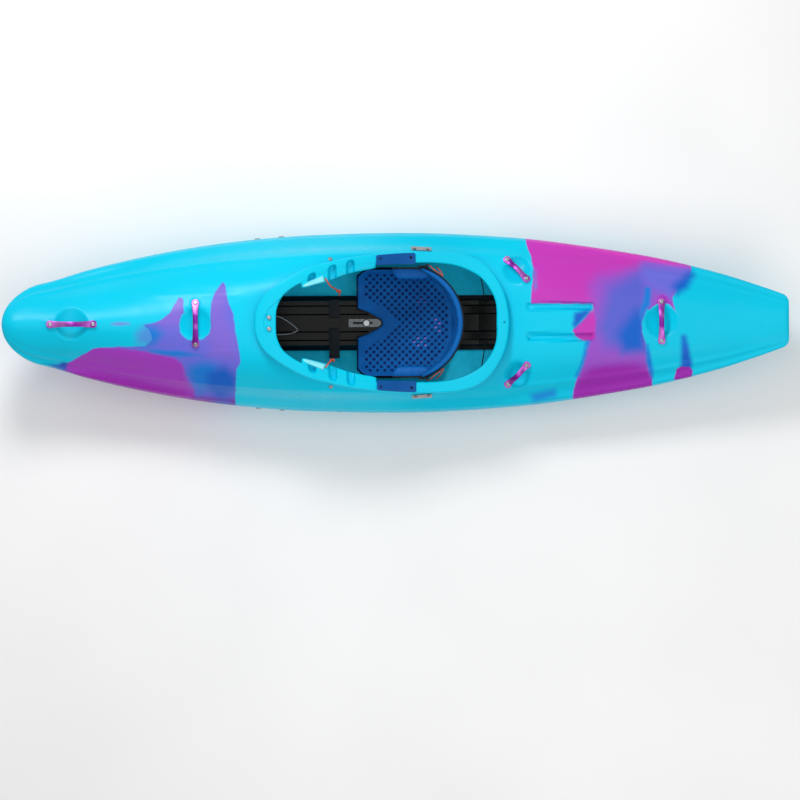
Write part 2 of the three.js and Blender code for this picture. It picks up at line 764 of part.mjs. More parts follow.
// The upright plug that opens the deck, a little wider than the rim's inner edge and hidden by the rim.
function cockpitPlug() {
  const shape = new THREE.Shape(
    rimPlaces(rimRingCount).map(({ inner, outer, out }) => {
      const width = Math.hypot(outer.x - inner.x, outer.y - inner.y) - RIM_GROOVE;
      const p = offsetBy(inner, out, width / 2, 0);
      return new THREE.Vector2(p.x, p.y);
    }),
  );
  const plug = new THREE.ExtrudeGeometry(shape, {
    depth: HULL_HEIGHT + OVERRUN - OPENING_FLOOR_Z,
    bevelEnabled: false,
  });
  plug.translate(0, 0, OPENING_FLOOR_Z);
  return solidOf(plug);
}

// Fasteners: a domed head on the plane z = 0 with its shank below it.
const boltSides = 8;
const domeRadiusShare = 0.8;
const domeHeightShare = 0.75;

function boltGeometry(headRadius, headHeight, radius, length) {
  const profile = [
    [0, -length],
    [radius, -length],
    [radius, 0],
    [headRadius, 0],
    [headRadius * domeRadiusShare, headHeight * domeHeightShare],
    [0, headHeight],
  ];
  const lathe = new THREE.LatheGeometry(profile.map(([r, z]) => new THREE.Vector2(r, z)), boltSides);
  return lathe.rotateX(Math.PI / 2);
}

// A bolt's own frame: z is its axis out of the surface, and the origin is under its head.
function frameAt(point, axis) {
  const turn = new THREE.Quaternion().setFromUnitVectors(new THREE.Vector3(0, 0, 1), axis);
  return new THREE.Matrix4().compose(point, turn, new THREE.Vector3(1, 1, 1));
}

function cylinderSolid(radius, bottom, top, frame, sides = boltSides) {
  const cylinder = new THREE.CylinderGeometry(radius, radius, top - bottom, sides);
  cylinder.rotateX(Math.PI / 2).translate(0, 0, (top + bottom) / 2);
  return solidOf(cylinder.applyMatrix4(frame));
}

function addBolt(name, frame, headRadius, headHeight, radius, length, parent = kayak) {
  const bolt = addPiece(name, boltGeometry(headRadius, headHeight, radius, length), paint.steel, parent);
  bolt.applyMatrix4(frame);
  return bolt;
}

// Grab handles. Each stands on two moulded lands over a finger dimple. The two places are its bolts in
// plan, the stand is how far its middle clears the deck, and a leaning handle's feet follow the deck's fall.
const handles = [
  {
    name: "bow_handle",
    bolts: [[BOW_HANDLE_X, 0, "front"], [BOW_HANDLE_X + LONG_BOLT_SPACING, 0, "rear"]],
    stand: LONG_RISE,
    leaning: false,
    dimple: [DIMPLE_RADIUS, DIMPLE_DEPTH],
  },
  {
    name: "foredeck_handle",
    bolts: [
      [FOREDECK_HANDLE_X, FOREDECK_BOLT_SPACING / 2, "starboard"],
      [FOREDECK_HANDLE_X, -FOREDECK_BOLT_SPACING / 2, "port"],
    ],
    stand: CROSS_STAND,
    leaning: true,
    dimple: [DIMPLE_RADIUS, DIMPLE_DEPTH],
  },
  ...[1, -1].map((side) => ({
    name: side > 0 ? "rear_handle_starboard" : "rear_handle_port",
    bolts: [
      [REAR_HANDLE_X, side * REAR_HANDLE_Y, "front"],
      [REAR_HANDLE_X + SHORT_BOLT_REACH, side * (REAR_HANDLE_Y - SHORT_BOLT_REACH), "rear"],
    ],
    stand: SHORT_RISE,
    leaning: false,
    dimple: [SHORT_DIMPLE_RADIUS, SHORT_DIMPLE_DEPTH],
  })),
  {
    name: "stern_handle",
    bolts: [
      [STERN_HANDLE_X, STERN_BOLT_SPACING / 2, "starboard"],
      [STERN_HANDLE_X, -STERN_BOLT_SPACING / 2, "port"],
    ],
    stand: CROSS_STAND,
    leaning: true,
    dimple: [DIMPLE_RADIUS, DIMPLE_DEPTH],
  },
];

// The handle's frame: x runs from its first bolt to its second, z away from the deck.
function handleFrame(handle) {
  const [a, b] = handle.bolts.map(([x, y]) => new THREE.Vector3(x, y, deckHeight(x, y) + LAND_STAND));
  const along = b.clone().sub(a).normalize();
  const middle = a.clone().add(b).multiplyScalar(0.5);
  const across = new THREE.Vector3(0, 0, 1).cross(along).normalize();
  const sides = [1, -1].map((end) => middle.clone().addScaledVector(across, end * LAND_RADIUS));
  const [high, low] = sides.map((place) => deckHeight(place.x, place.y));
  across.z = (high - low) / (2 * LAND_RADIUS);
  across.addScaledVector(along, -across.dot(along)).normalize();
  const up = along.clone().cross(across);
  const matrix = new THREE.Matrix4().makeBasis(along, across, up).setPosition(middle);
  const rise = deckHeight(middle.x, middle.y) - middle.z + handle.stand;
  const lean = (deckHeight(b.x, b.y - LAND_RADIUS) - deckHeight(b.x, b.y + LAND_RADIUS)) / (2 * LAND_RADIUS);
  const tilt = handle.leaning ? Math.abs(Math.atan(lean)) : 0;
  return { matrix, half: a.distanceTo(b) / 2, rise, tilt };
}

// Frames of the two feet, inside the handle's frame.
function footFrames({ half, tilt }) {
  return [-1, 1].map((end) => {
    const axis = new THREE.Vector3(end * Math.sin(tilt), 0, Math.cos(tilt));
    return frameAt(new THREE.Vector3(end * half, 0, 0), axis);
  });
}

function handleSolid({ half, rise, tilt }) {
  const slope = Math.tan(tilt);
  const flatShare = 1 - (BOLT_HEAD_RADIUS + SLIDE_GAP) / half;
  const footHeight = (t) => (1 - Math.abs(t)) * half * slope;
  const arch = rise - footHeight(flatShare);
  const heightAt = (t) => {
    const part = t / flatShare;
    const shoulder = (flatShare * half * slope) / 2 - arch;
    return footHeight(flatShare) + (1 - part ** 2) * (arch + shoulder * part ** 2);
  };
  const endShare = 1 + HANDLE_OVERHANG / half;
  const shares = [-endShare, -(1 + endShare) / 2];
  for (let i = 0; i <= handleSteps; i++) shares.push(flatShare * (-1 + (2 * i) / handleSteps));
  shares.push((1 + endShare) / 2, endShare);
  const rings = shares.map((t) => {
    const inside = Math.min(Math.abs(t), 1);
    const z = Math.abs(t) > flatShare ? footHeight(t) : heightAt(t);
    const full = HANDLE_WAIST_WIDTH + (HANDLE_END_WIDTH - HANDLE_WAIST_WIDTH) * inside ** 2;
    const width = Math.abs(t) === endShare ? full * handleTipShare : full;
    return [
      [-width / 2, z],
      [width / 2, z],
      [width / 2, z + HANDLE_THICKNESS],
      [-width / 2, z + HANDLE_THICKNESS],
    ].map(([y, height]) => new THREE.Vector3(t * half, y, height));
  });
  return solidOf(loft(rings));
}

function addHandle(handle) {
  const place = handleFrame(handle);
  const feet = footFrames(place);
  let body = handleSolid(place);
  feet.forEach((foot) => {
    body = body.subtract(cylinderSolid(BOLT_RADIUS + CLEARANCE, -OVERRUN, OVERRUN, foot));
  });
  const group = new THREE.Group();
  group.applyMatrix4(place.matrix);
  kayak.add(group);
  addPiece(handle.name, geometryOf(body), paint.handle, group);
  feet.forEach((foot, i) => {
    const top = HANDLE_THICKNESS + CLEARANCE;
    const frame = foot.clone().multiply(new THREE.Matrix4().makeTranslation(0, 0, top));
    const name = `${handle.name}_bolt_${handle.bolts[i][2]}`;
    addBolt(name, frame, BOLT_HEAD_RADIUS, BOLT_HEAD_HEIGHT, BOLT_RADIUS, top + BOLT_GRIP, group);
  });
}

// What the handles leave in the hull: the finger dimple as a ball, the lands under the feet, their holes.
function handleSeats() {
  return handles.map((handle) => {
    const place = handleFrame(handle);
    const matrix = place.matrix;
    const [radius, depth] = handle.dimple;
    const ballRadius = (radius ** 2 + depth ** 2) / (2 * depth);
    const middle = new THREE.Vector3().setFromMatrixPosition(matrix);
    const up = new THREE.Vector3().setFromMatrixColumn(matrix, 2);
    middle.z = deckHeight(middle.x, middle.y);
    middle.addScaledVector(up, ballRadius - depth);
    const ball = (grow) => {
      const sphere = new THREE.SphereGeometry(ballRadius + grow, ballSides, ballRings);
      sphere.rotateX(Math.PI / 2);
      return solidOf(sphere.translate(middle.x, middle.y, middle.z));
    };
    const feet = footFrames(place).map((foot) => matrix.clone().multiply(foot));
    const lands = feet.map((foot) => cylinderSolid(LAND_RADIUS, -LAND_DEPTH, -SLIDE_GAP, foot, landSides));
    const holes = feet.map((foot) => {
      return cylinderSolid(BOLT_RADIUS + CLEARANCE, -BOLT_GRIP - CLEARANCE, OVERRUN, foot);
    });
    return { ball, lands, holes };
  });
}

// Tools for bars, blocks and cords
const upright = (height) => ({ depth: height, bevelEnabled: false });

function blockSolid(x0, x1, y0, y1, z0, z1) {
  const box = new THREE.BoxGeometry(x1 - x0, y1 - y0, z1 - z0);
  return solidOf(box.translate((x0 + x1) / 2, (y0 + y1) / 2, (z0 + z1) / 2));
}

// A plan outline raised between two heights.
function prismSolid(outline, bottom, top) {
  const shape = new THREE.Shape(outline.map(([x, y]) => new THREE.Vector2(x, y)));
  return solidOf(new THREE.ExtrudeGeometry(shape, upright(top - bottom)).translate(0, 0, bottom));
}

// A flat bar on edge that follows a line in plan.
function barGeometry(line, thickness, bottom, top) {
  const rings = line.map(([x, y], i) => {
    const before = line[Math.max(i - 1, 0)];
    const after = line[Math.min(i + 1, line.length - 1)];
    const length = Math.hypot(after[0] - before[0], after[1] - before[1]);
    const nx = (-(after[1] - before[1]) / length) * (thickness / 2);
    const ny = ((after[0] - before[0]) / length) * (thickness / 2);
    return [
      new THREE.Vector3(x - nx, y - ny, bottom),
      new THREE.Vector3(x + nx, y + ny, bottom),
      new THREE.Vector3(x + nx, y + ny, top),
      new THREE.Vector3(x - nx, y - ny, top),
    ];
  });
  return loft(rings);
}

function cordGeometry(points, radius, steps) {
  const shape = new THREE.Shape(
    Array.from({ length: cordSides }, (_, i) => {
      const angle = (i / cordSides) * Math.PI * 2;
      return new THREE.Vector2(radius * Math.cos(angle), radius * Math.sin(angle));
    }),
  );
  const path = new THREE.CatmullRomCurve3(points.map((p) => new THREE.Vector3(...p)), false, "centripetal");
  return new THREE.ExtrudeGeometry(shape, { steps, bevelEnabled: false, extrudePath: path });
}

const bothSides = [
  ["starboard", 1],
  ["port", -1],
];
const mirrored = (points, side) => points.map(([x, y, z]) => [x, side * y, z]);
// Places on a resized hull: those that stay with the backrest move out from the middle of its band.
const onHull = ([x, y, z]) => [x * LENGTH_RATIO, y * BEAM_RATIO, z * HEIGHT_RATIO];
const onSeat = ([x, y, z]) => [
  BAND_CENTRE_X + (x - BAND_CENTRE_X) * BEAM_RATIO,
  y * BEAM_RATIO,
  z * HEIGHT_RATIO,
];

// The faceted rim's edges on the starboard side: breadth and height at a place beside the cockpit.
const rimFacets = rimPlaces(rimRingCount).slice(0, rimRingCount / 2 + 1);

function rimEdgeAt(edge, x) {
  const next = Math.max(rimFacets.findIndex((place) => place[edge].x > x), 1);
  const [before, after] = [rimFacets[next - 1][edge], rimFacets[next][edge]];
  return before.clone().lerp(after, (x - before.x) / (after.x - before.x));
}
const rimTopAt = (x) => Math.max(rimEdgeAt("inner", x).z, rimEdgeAt("outer", x).z);

// Centre beam: a moulded tray on the hull's floor with a plateau for the seat's plate and two rails.
const trayBottomAt = (x) => floorHeight(x, TRAY_HALF_WIDTH) + CLEARANCE;

function trayRing(x) {
  const bottom = trayBottomAt(x);
  const base = Math.max(TRAY_BASE_Z, bottom + TRAY_LEAST);
  const plateau = Math.max(TRAY_PLATEAU_Z, base + TRAY_LEAST);
  const rail = Math.max(TRAY_RAIL_Z, base + TRAY_RAIL_LEAST);
  const side = [
    [TRAY_PLATEAU_HALF, plateau],
    [TRAY_PLATEAU_HALF + TRAY_FILLET, base],
    [TRAY_RAIL_INNER, base],
    [TRAY_RAIL_INNER + TRAY_FILLET, rail],
    [TRAY_RAIL_OUTER - TRAY_FILLET, rail],
    [TRAY_RAIL_OUTER, base],
    [TRAY_HALF_WIDTH, (base + bottom) / 2],
    [TRAY_HALF_WIDTH, bottom],
  ];
  const ring = [...side, ...side.map(([y, z]) => [-y, z]).reverse()];
  return ring.map(([y, z]) => new THREE.Vector3(x, y, z));
}

function addTray() {
  const stations = trayStationShares.map((share) => TRAY_FRONT_X + share * TRAY_LENGTH);
  let tray = solidOf(loft(stations.map(trayRing)));
  const seat = frameAt(new THREE.Vector3(ADJUSTER_BOLT_X, 0, TRAY_PLATEAU_Z), new THREE.Vector3(0, 0, 1));
  tray = tray.subtract(cylinderSolid(ADJUSTER_BOLT_RADIUS + CLEARANCE, -ADJUSTER_BOLT_GRIP, OVERRUN, seat));
  addPiece("centre_beam", geometryOf(tray), paint.black);
}

// Foam pillars between the floor and the deck, cut clear of the finger dimples and channels above them.
function pillarGeometry(x0, x1, halfWidth) {
  const core = blockSolid(x0, x1, -halfWidth, halfWidth, 0, HULL_HEIGHT);
  let pillar = core.intersect(hullInside(WALL + PILLAR_GAP));
  handleSeats().forEach(({ ball }) => (pillar = pillar.subtract(ball(WALL + PILLAR_GAP))));
  deckChannels(WALL + PILLAR_GAP).forEach((channel) => (pillar = pillar.subtract(channel)));
  return geometryOf(pillar.subtract(rimHoop(PILLAR_GAP)));
}

function addPillars() {
  const front = pillarGeometry(FRONT_PILLAR_BOW_X, FRONT_PILLAR_STERN_X, PILLAR_HALF_WIDTH);
  const rear = pillarGeometry(REAR_PILLAR_BOW_X, REAR_PILLAR_STERN_X, REAR_PILLAR_HALF_WIDTH);
  addPiece("front_pillar", front, paint.foam);
  addPiece("rear_pillar", rear, paint.foam);
}

// Footrests: each pad slides on a bent bar that two bolts hold to the hull's side.
function sideBoltFrame(x, side) {
  const places = [-1, 1].flatMap((i) => [-1, 1].map((j) => [i, j]));
  const reach = SIDE_BOLT_HEAD_RADIUS;
  const skin = places.map(([i, j]) => sideBreadth(x + i * reach, SIDE_BOLT_Z + j * reach, 0));
  const y = Math.max(...skin) + CLEARANCE;
  return { frame: frameAt(new THREE.Vector3(x, side * y, SIDE_BOLT_Z), new THREE.Vector3(0, side, 0)), y };
}

function addFootrests() {
  bothSides.forEach(([word, side]) => {
    const line = [
      [RAIL_REAR_X, side * RAIL_SIDE_Y],
      [RAIL_BEND_X, side * RAIL_SIDE_Y],
      [RAIL_STRAIGHT_X, side * RAIL_Y],
      [RAIL_FRONT_X, side * RAIL_Y],
    ];
    const railLow = RAIL_Z - RAIL_HEIGHT / 2;
    let rail = solidOf(barGeometry(line, RAIL_THICKNESS, railLow, railLow + RAIL_HEIGHT));
    SIDE_BOLT_XS.forEach((x, i) => {
      const { frame, y } = sideBoltFrame(x, side);
      const length = y - RAIL_SIDE_Y + RAIL_THICKNESS + BOLT_RADIUS;
      rail = rail.subtract(cylinderSolid(BOLT_RADIUS + CLEARANCE, -length - OVERRUN, OVERRUN, frame));
      const end = i ? "rear" : "front";
      const name = `footrest_bolt_${word}_${end}`;
      addBolt(name, frame, SIDE_BOLT_HEAD_RADIUS, BOLT_HEAD_HEIGHT, BOLT_RADIUS, length);
    });
    addPiece(`footrest_rail_${word}`, geometryOf(rail), paint.greyPlate);
    const y0 = FOOTREST_INNER_Y;
    const y1 = FOOTREST_OUTER_Y;
    const pad = prismSolid(
      [
        [FOOTREST_X, y0],
        [FOOTREST_X + FOOTREST_THICKNESS, y0 + FOOTREST_CHAMFER],
        [FOOTREST_X + FOOTREST_THICKNESS, y1 - FOOTREST_CHAMFER],
        [FOOTREST_X, y1],
      ].map(([x, y]) => [x, side * y]),
      FOOTREST_BOTTOM_Z,
      FOOTREST_TOP_Z,
    );
    const halfSlot = RAIL_THICKNESS / 2 + SLOT_GAP;
    const slotHeight = RAIL_HEIGHT / 2 + SLOT_GAP;
    const middle = side * RAIL_Y;
    const slot = blockSolid(
      FOOTREST_X - OVERRUN,
      FOOTREST_X + OVERRUN,
      middle - halfSlot,
      middle + halfSlot,
      RAIL_Z - slotHeight,
      RAIL_Z + slotHeight,
    );
    addPiece(`footrest_${word}`, geometryOf(pad.subtract(slot)), paint.black);
  });
}

// Seat: a pan whose wings rise to the hips, with a foam pad on it.
const seatOutlineAt = (x) => {
  return SEAT_HALF_WIDTH * valueAt(seatOutlineShares, 1, (x - SEAT_FRONT_X) / SEAT_LENGTH);
};

function seatHeight(x, y) {
  const wing = Math.max(Math.abs(y) - SEAT_FLAT_HALF, 0) / (SEAT_HALF_WIDTH - SEAT_FLAT_HALF);
  const front = Math.max(SEAT_LIP_X - x, 0) / (SEAT_LIP_X - SEAT_FRONT_X);
  return SEAT_BOTTOM_Z + SEAT_WING_RISE * wing ** 2 + SEAT_LIP_RISE * front ** 2;
}

// A layer of the seat between two heights over its underside; the crown swells the middle of its top.
function seatLayer(bottom, top, crown, shrink) {
  const rings = seatStationShares.map((share) => {
    const x = SEAT_FRONT_X + shrink + share * (SEAT_LENGTH - 2 * shrink);
    const half = seatOutlineAt(x) - shrink;
    const lowAt = (s) => new THREE.Vector3(x, s * half, seatHeight(x, s * half) + bottom);
    const low = seatAcrossShares.map(lowAt);
    const high = seatAcrossShares.map((s) => {
      const swell = crown * (1 - s ** 4) * (1 - (2 * share - 1) ** 4);
      return new THREE.Vector3(x, s * half, seatHeight(x, s * half) + top - crown + swell);
    });
    return [...low, ...high.reverse()];
  });
  return solidOf(loft(rings));
}

// The notch in the seat's front that leaves the adjuster free.
function seatNotch(grow) {
  const side = seatNotchShares.map(([along, across]) => [
    SEAT_FRONT_X - OVERRUN + along * (SEAT_NOTCH_DEPTH + OVERRUN) + grow,
    across * SEAT_NOTCH_HALF + grow,
  ]);
  const outline = [...side, ...side.map(([x, y]) => [x, -y]).reverse()];
  return prismSolid(outline, 0, HULL_HEIGHT);
}

// The upright flange at one side of the pan.
function seatFlange(side, grow) {
  const inner = side * (FLANGE_Y - FLANGE_THICKNESS - grow);
  const outer = side * (FLANGE_Y + grow);
  const root = seatHeight(FLANGE_FRONT_X, FLANGE_Y - FLANGE_THICKNESS) + SEAT_PAN_THICKNESS / 2;
  return blockSolid(
    FLANGE_FRONT_X - grow,
    FLANGE_REAR_X + grow,
    Math.min(inner, outer),
    Math.max(inner, outer),
    root - FLANGE_THICKNESS - grow,
    FLANGE_TOP_Z,
  );
}

function addSeat() {
  const low = SEAT_PAN_THICKNESS + CLEARANCE;
  let pan = seatLayer(0, SEAT_PAN_THICKNESS, 0, 0).subtract(seatNotch(0));
  let pad = seatLayer(low / 2, low + SEAT_PAD_THICKNESS, SEAT_PAD_CROWN, SEAT_PAD_INSET)
    .subtract(seatLayer(-low, low, 0, 0))
    .subtract(seatNotch(SEAT_PAD_INSET));
  bothSides.forEach(([, side]) => {
    pan = pan.add(seatFlange(side, 0));
    const pivot = new THREE.Vector3(PIVOT_X, side * FLANGE_Y, PIVOT_Z);
    const axis = frameAt(pivot, new THREE.Vector3(0, side, 0));
    pan = pan.subtract(cylinderSolid(PIVOT_RADIUS + CLEARANCE, -OVERRUN / 2, OVERRUN / 2, axis, pivotSides));
    pad = pad.subtract(seatFlange(side, CLEARANCE));
  });
  addPiece("seat_pan", geometryOf(pan), paint.black);
  addPiece("seat_pad", geometryOf(pad), paint.blueFoam);
}

// Hip pads: foam blocks with a crowned face, held by the seat's flanges.
function addHipPads() {
  const length = HIP_REAR_X - HIP_FRONT_X;
  const back = FLANGE_Y - FLANGE_THICKNESS - CLEARANCE;
  bothSides.forEach(([word, side]) => {
    const rings = hipStationShares.map((share) => {
      const x = HIP_FRONT_X + share * length;
      const swell = 1 - (2 * share - 1) ** 4;
      const face = back - HIP_EDGE - (HIP_THICKNESS - HIP_EDGE) * swell;
      const draw = HIP_DRAW * (1 - swell);
      const low = HIP_BOTTOM_Z + draw;
      const high = HIP_TOP_Z - draw;
      const bevel = (high - low) * hipBevelShare;
      return [
        [back, low],
        [back, high],
        [(back + face) / 2, high - HIP_DRAW / 2],
        [face, high - bevel],
        [face - HIP_DRAW / 2, (high + low) / 2],
        [face, low + bevel],
        [(back + face) / 2, low + HIP_DRAW / 2],
      ].map(([y, z]) => new THREE.Vector3(x, side * y, z));
    });
    addPiece(`hip_pad_${word}`, loft(rings), paint.blueFoam);
  });
}

// Backrest: a band round the back of the seat, blue foam on a black shell that turns on two studs.
function bandRings(steps, sectionAt) {
  return Array.from({ length: steps + 1 }, (_, i) => {
    const angle = (i - steps / 2) * BAND_STEP_ANGLE;
    const turned = (angle / BAND_HALF_ANGLE) ** 2;
    const top = BAND_TOP_Z - BAND_WING_DROP * turned;
    const lean = BAND_LEAN * (1 - turned);
    const wing = Math.abs(2 * i - steps) / steps;
    return sectionAt(top, lean, wing).map(
      ([r, z]) => new THREE.Vector3(BAND_CENTRE_X + r * Math.cos(angle), r * Math.sin(angle), z),
    );
  });
}

// The shell's band, or with a gap the space that the pad leaves for it.
function bandShell(gap) {
  const inner = BAND_OUTER_RADIUS - BAND_SHELL_THICKNESS - gap;
  const rings = bandRings(bandShellSteps, (top, lean) => [
    [inner - lean, BAND_BOTTOM_Z],
    [BAND_OUTER_RADIUS - lean, BAND_BOTTOM_Z],
    [BAND_OUTER_RADIUS, top],
    [inner, top],
  ]);
  return solidOf(loft(rings));
}

function bandPad() {
  const back = BAND_OUTER_RADIUS - BAND_SHELL_THICKNESS + SLIDE_GAP;
  const rings = bandRings(bandPadSteps, (shellTop, lean, wing) => {
    const swell = 1 - wing ** 6;
    const draw = BAND_PAD_DRAW * (1 - swell);
    const top = shellTop - draw - SLIDE_GAP;
    const bottom = BAND_BOTTOM_Z + draw + SLIDE_GAP;
    const thick = BAND_PAD_EDGE + (BAND_PAD_THICKNESS - BAND_PAD_EDGE) * swell;
    const at = (depth, z) => [back - depth - (lean * (shellTop - z)) / (shellTop - BAND_BOTTOM_Z), z];
    const edge = (top - bottom) * bandPadEdgeShare;
    return [
      at(0, bottom),
      at(0, top),
      at(thick / 2, top),
      at(thick, top - edge),
      at(thick + BAND_PAD_CROWN * swell, (top + bottom) / 2),
      at(thick, bottom + edge),
      at(thick / 2, bottom),
    ];
  });
  return solidOf(loft(rings)).subtract(bandShell(CLEARANCE));
}

function addBackrest() {
  let shell = bandShell(0);
  bothSides.forEach(([, side]) => {
    const inner = FLANGE_Y + SLIDE_GAP;
    const outer = inner + EAR_THICKNESS;
    const [low, high] = side > 0 ? [inner, outer] : [-outer, -inner];
    shell = shell.add(blockSolid(EAR_FRONT_X, EAR_REAR_X, low, high, EAR_BOTTOM_Z, EAR_TOP_Z));
    const axis = frameAt(new THREE.Vector3(PIVOT_X, side * inner, PIVOT_Z), new THREE.Vector3(0, side, 0));
    const depth = SLIDE_GAP + FLANGE_THICKNESS - CLEARANCE;
    shell = shell.add(cylinderSolid(PIVOT_RADIUS, -depth, EAR_THICKNESS / 2, axis, pivotSides));
  });
  addPiece("backrest_shell", geometryOf(shell), paint.black);
  addPiece("backrest_pad", geometryOf(bandPad()), paint.blueFoam);
}

// The seat's adjuster: a slotted plate that moves with the seat, over a bolt that stays in the beam.
function addAdjuster() {
  const z0 = TRAY_PLATEAU_Z + CLEARANCE;
  let plate = blockSolid(PLATE_FRONT_X, PLATE_REAR_X, -PLATE_HALF, PLATE_HALF, z0, z0 + PLATE_THICKNESS);
  plate = plate.subtract(blockSolid(SLOT_FRONT_X, SLOT_REAR_X, -SLOT_HALF, SLOT_HALF, 0, HULL_HEIGHT));
  addPiece("adjuster_plate", geometryOf(plate), paint.greyPlate);
  const top = z0 + PLATE_THICKNESS + CLEARANCE;
  const frame = frameAt(new THREE.Vector3(ADJUSTER_BOLT_X, 0, top), new THREE.Vector3(0, 0, 1));
  const length = top - TRAY_PLATEAU_Z + ADJUSTER_BOLT_GRIP - CLEARANCE;
  addBolt("adjuster_bolt", frame, ADJUSTER_HEAD_RADIUS, BOLT_HEAD_HEIGHT, ADJUSTER_BOLT_RADIUS, length);
}

// Thigh braces: a hook inside the rim, with a tab under the deck that a bolt holds, and finger recesses.
const deckNormal = (x, y) => {
  const step = LAND_RADIUS / 4;
  const dx = (deckHeight(x + step, y) - deckHeight(x - step, y)) / (2 * step);
  const dy = (deckHeight(x, y + step) - deckHeight(x, y - step)) / (2 * step);
  return new THREE.Vector3(-dx, -dy, 1).normalize();
};
const braceBolts = bothSides.map(([word, side]) => {
  const normal = deckNormal(BRACE_BOLT_X, side * BRACE_BOLT_Y);
  const point = new THREE.Vector3(BRACE_BOLT_X, side * BRACE_BOLT_Y, deckHeight(BRACE_BOLT_X, BRACE_BOLT_Y));
  return { word, side, frame: frameAt(point.addScaledVector(normal, LAND_STAND), normal) };
});

function braceRing(x, side) {
  const y = rimEdgeAt("inner", x).y - SLIDE_GAP;
  const z = rimTopAt(x);
  const lip = BRACE_LIP * valueAt(braceLipShares, 1, (x - BRACE_FRONT_X) / BRACE_LENGTH);
  return [
    [0, BRACE_DROP],
    [lip - BRACE_ROUND, BRACE_DROP + BRACE_ROUND],
    [lip, BRACE_DROP + 2 * BRACE_ROUND],
    [lip, BRACE_DROP + 3 * BRACE_ROUND],
    [lip - BRACE_ROUND, BRACE_DROP + 4 * BRACE_ROUND],
    [BRACE_WEB, BRACE_DROP + 3 * BRACE_ROUND],
    [BRACE_WEB, BRACE_DEPTH],
    [0, BRACE_DEPTH],
  ].map(([inward, down]) => new THREE.Vector3(x, side * (y - inward), z - down));
}

function braceTab(side) {
  const [x0, x1] = [BRACE_BOLT_X - BRACE_TAB_HALF, BRACE_BOLT_X + BRACE_TAB_HALF];
  const top = Math.min(...[x0, x1].map((x) => deckHeight(x, BRACE_TAB_Y, WALL))) - BRACE_TAB_GAP;
  const web = rimEdgeAt("inner", BRACE_BOLT_X).y - BRACE_WEB;
  const [low, high] = side > 0 ? [web, BRACE_TAB_Y] : [-BRACE_TAB_Y, -web];
  return blockSolid(x0, x1, low, high, top - BRACE_TAB_THICKNESS, top);
}

function addBraces() {
  const rim = rimHoop(CLEARANCE);
  braceBolts.forEach(({ word, side, frame }) => {
    const stations = braceStationShares.map((share) => BRACE_FRONT_X + share * BRACE_LENGTH);
    let brace = solidOf(loft(stations.map((x) => braceRing(x, side)))).add(braceTab(side)).subtract(rim);
    BRACE_RECESS_XS.forEach((x) => {
      const y = rimEdgeAt("inner", x).y - BRACE_RECESS_INSET;
      const ball = new THREE.SphereGeometry(BRACE_RECESS_RADIUS, recessSides, recessRings);
      brace = brace.subtract(solidOf(ball.translate(x, side * y, rimTopAt(x) - BRACE_DROP)));
    });
    brace = brace.subtract(cylinderSolid(BOLT_RADIUS + CLEARANCE, -OVERRUN, 0, frame));
    addPiece(`thigh_brace_${word}`, geometryOf(brace), paint.hull);
    const name = `thigh_brace_bolt_${word}`;
    addBolt(name, frame, BOLT_HEAD_RADIUS, BOLT_HEAD_HEIGHT, BOLT_RADIUS, BRACE_BOLT_LENGTH);
  });
}

// Blue plates over the rim's flange beside the seat, each with two screws.
function plateRing(x, side) {
  const z = rimTopAt(x);
  const inner = rimEdgeAt("inner", x).y - SLIDE_GAP - COVER_THICKNESS;
  const outer = rimEdgeAt("outer", x).y - RIM_EDGE_ROUND;
  return [
    [outer, z - COVER_LIP],
    [outer, z + COVER_THICKNESS],
    [inner, z + COVER_THICKNESS],
    [inner, z - COVER_LIP],
  ].map(([y, height]) => new THREE.Vector3(x, side * y, height));
}

// Where the screws sit: on the flat stretch between two of the plate's stations.
const coverScrews = bothSides.flatMap(([word, side]) =>
  [
    ["front", COVER_STATION_XS[0], COVER_STATION_XS[1]],
    ["rear", COVER_STATION_XS[3], COVER_STATION_XS[4]],
  ].map(([end, x0, x1]) => {
    const x = (x0 + x1) / 2;
    const slope = (rimTopAt(x1) - rimTopAt(x0)) / (x1 - x0);
    const z = (rimTopAt(x1) + rimTopAt(x0)) / 2 + COVER_THICKNESS + CLEARANCE;
    const y = (rimEdgeAt("inner", x).y + rimEdgeAt("outer", x).y) / 2;
    const frame = frameAt(new THREE.Vector3(x, side * y, z), new THREE.Vector3(-slope, 0, 1).normalize());
    return { word, side, end, frame };
  }),
);

function addCoverPlates() {
  bothSides.forEach(([word, side]) => {
    let plate = solidOf(loft(COVER_STATION_XS.map((x) => plateRing(x, side)))).subtract(rimHoop(CLEARANCE));
    coverScrews
      .filter((screw) => screw.side === side)
      .forEach(({ end, frame }) => {
        plate = plate.subtract(cylinderSolid(SCREW_RADIUS + CLEARANCE, -OVERRUN, OVERRUN, frame));
        const name = `cover_screw_${word}_${end}`;
        addBolt(name, frame, SCREW_HEAD_RADIUS, SCREW_HEAD_HEIGHT, SCREW_RADIUS, SCREW_LENGTH);
      });
    addPiece(`cover_plate_${word}`, geometryOf(plate), paint.bluePlate);
  });
}

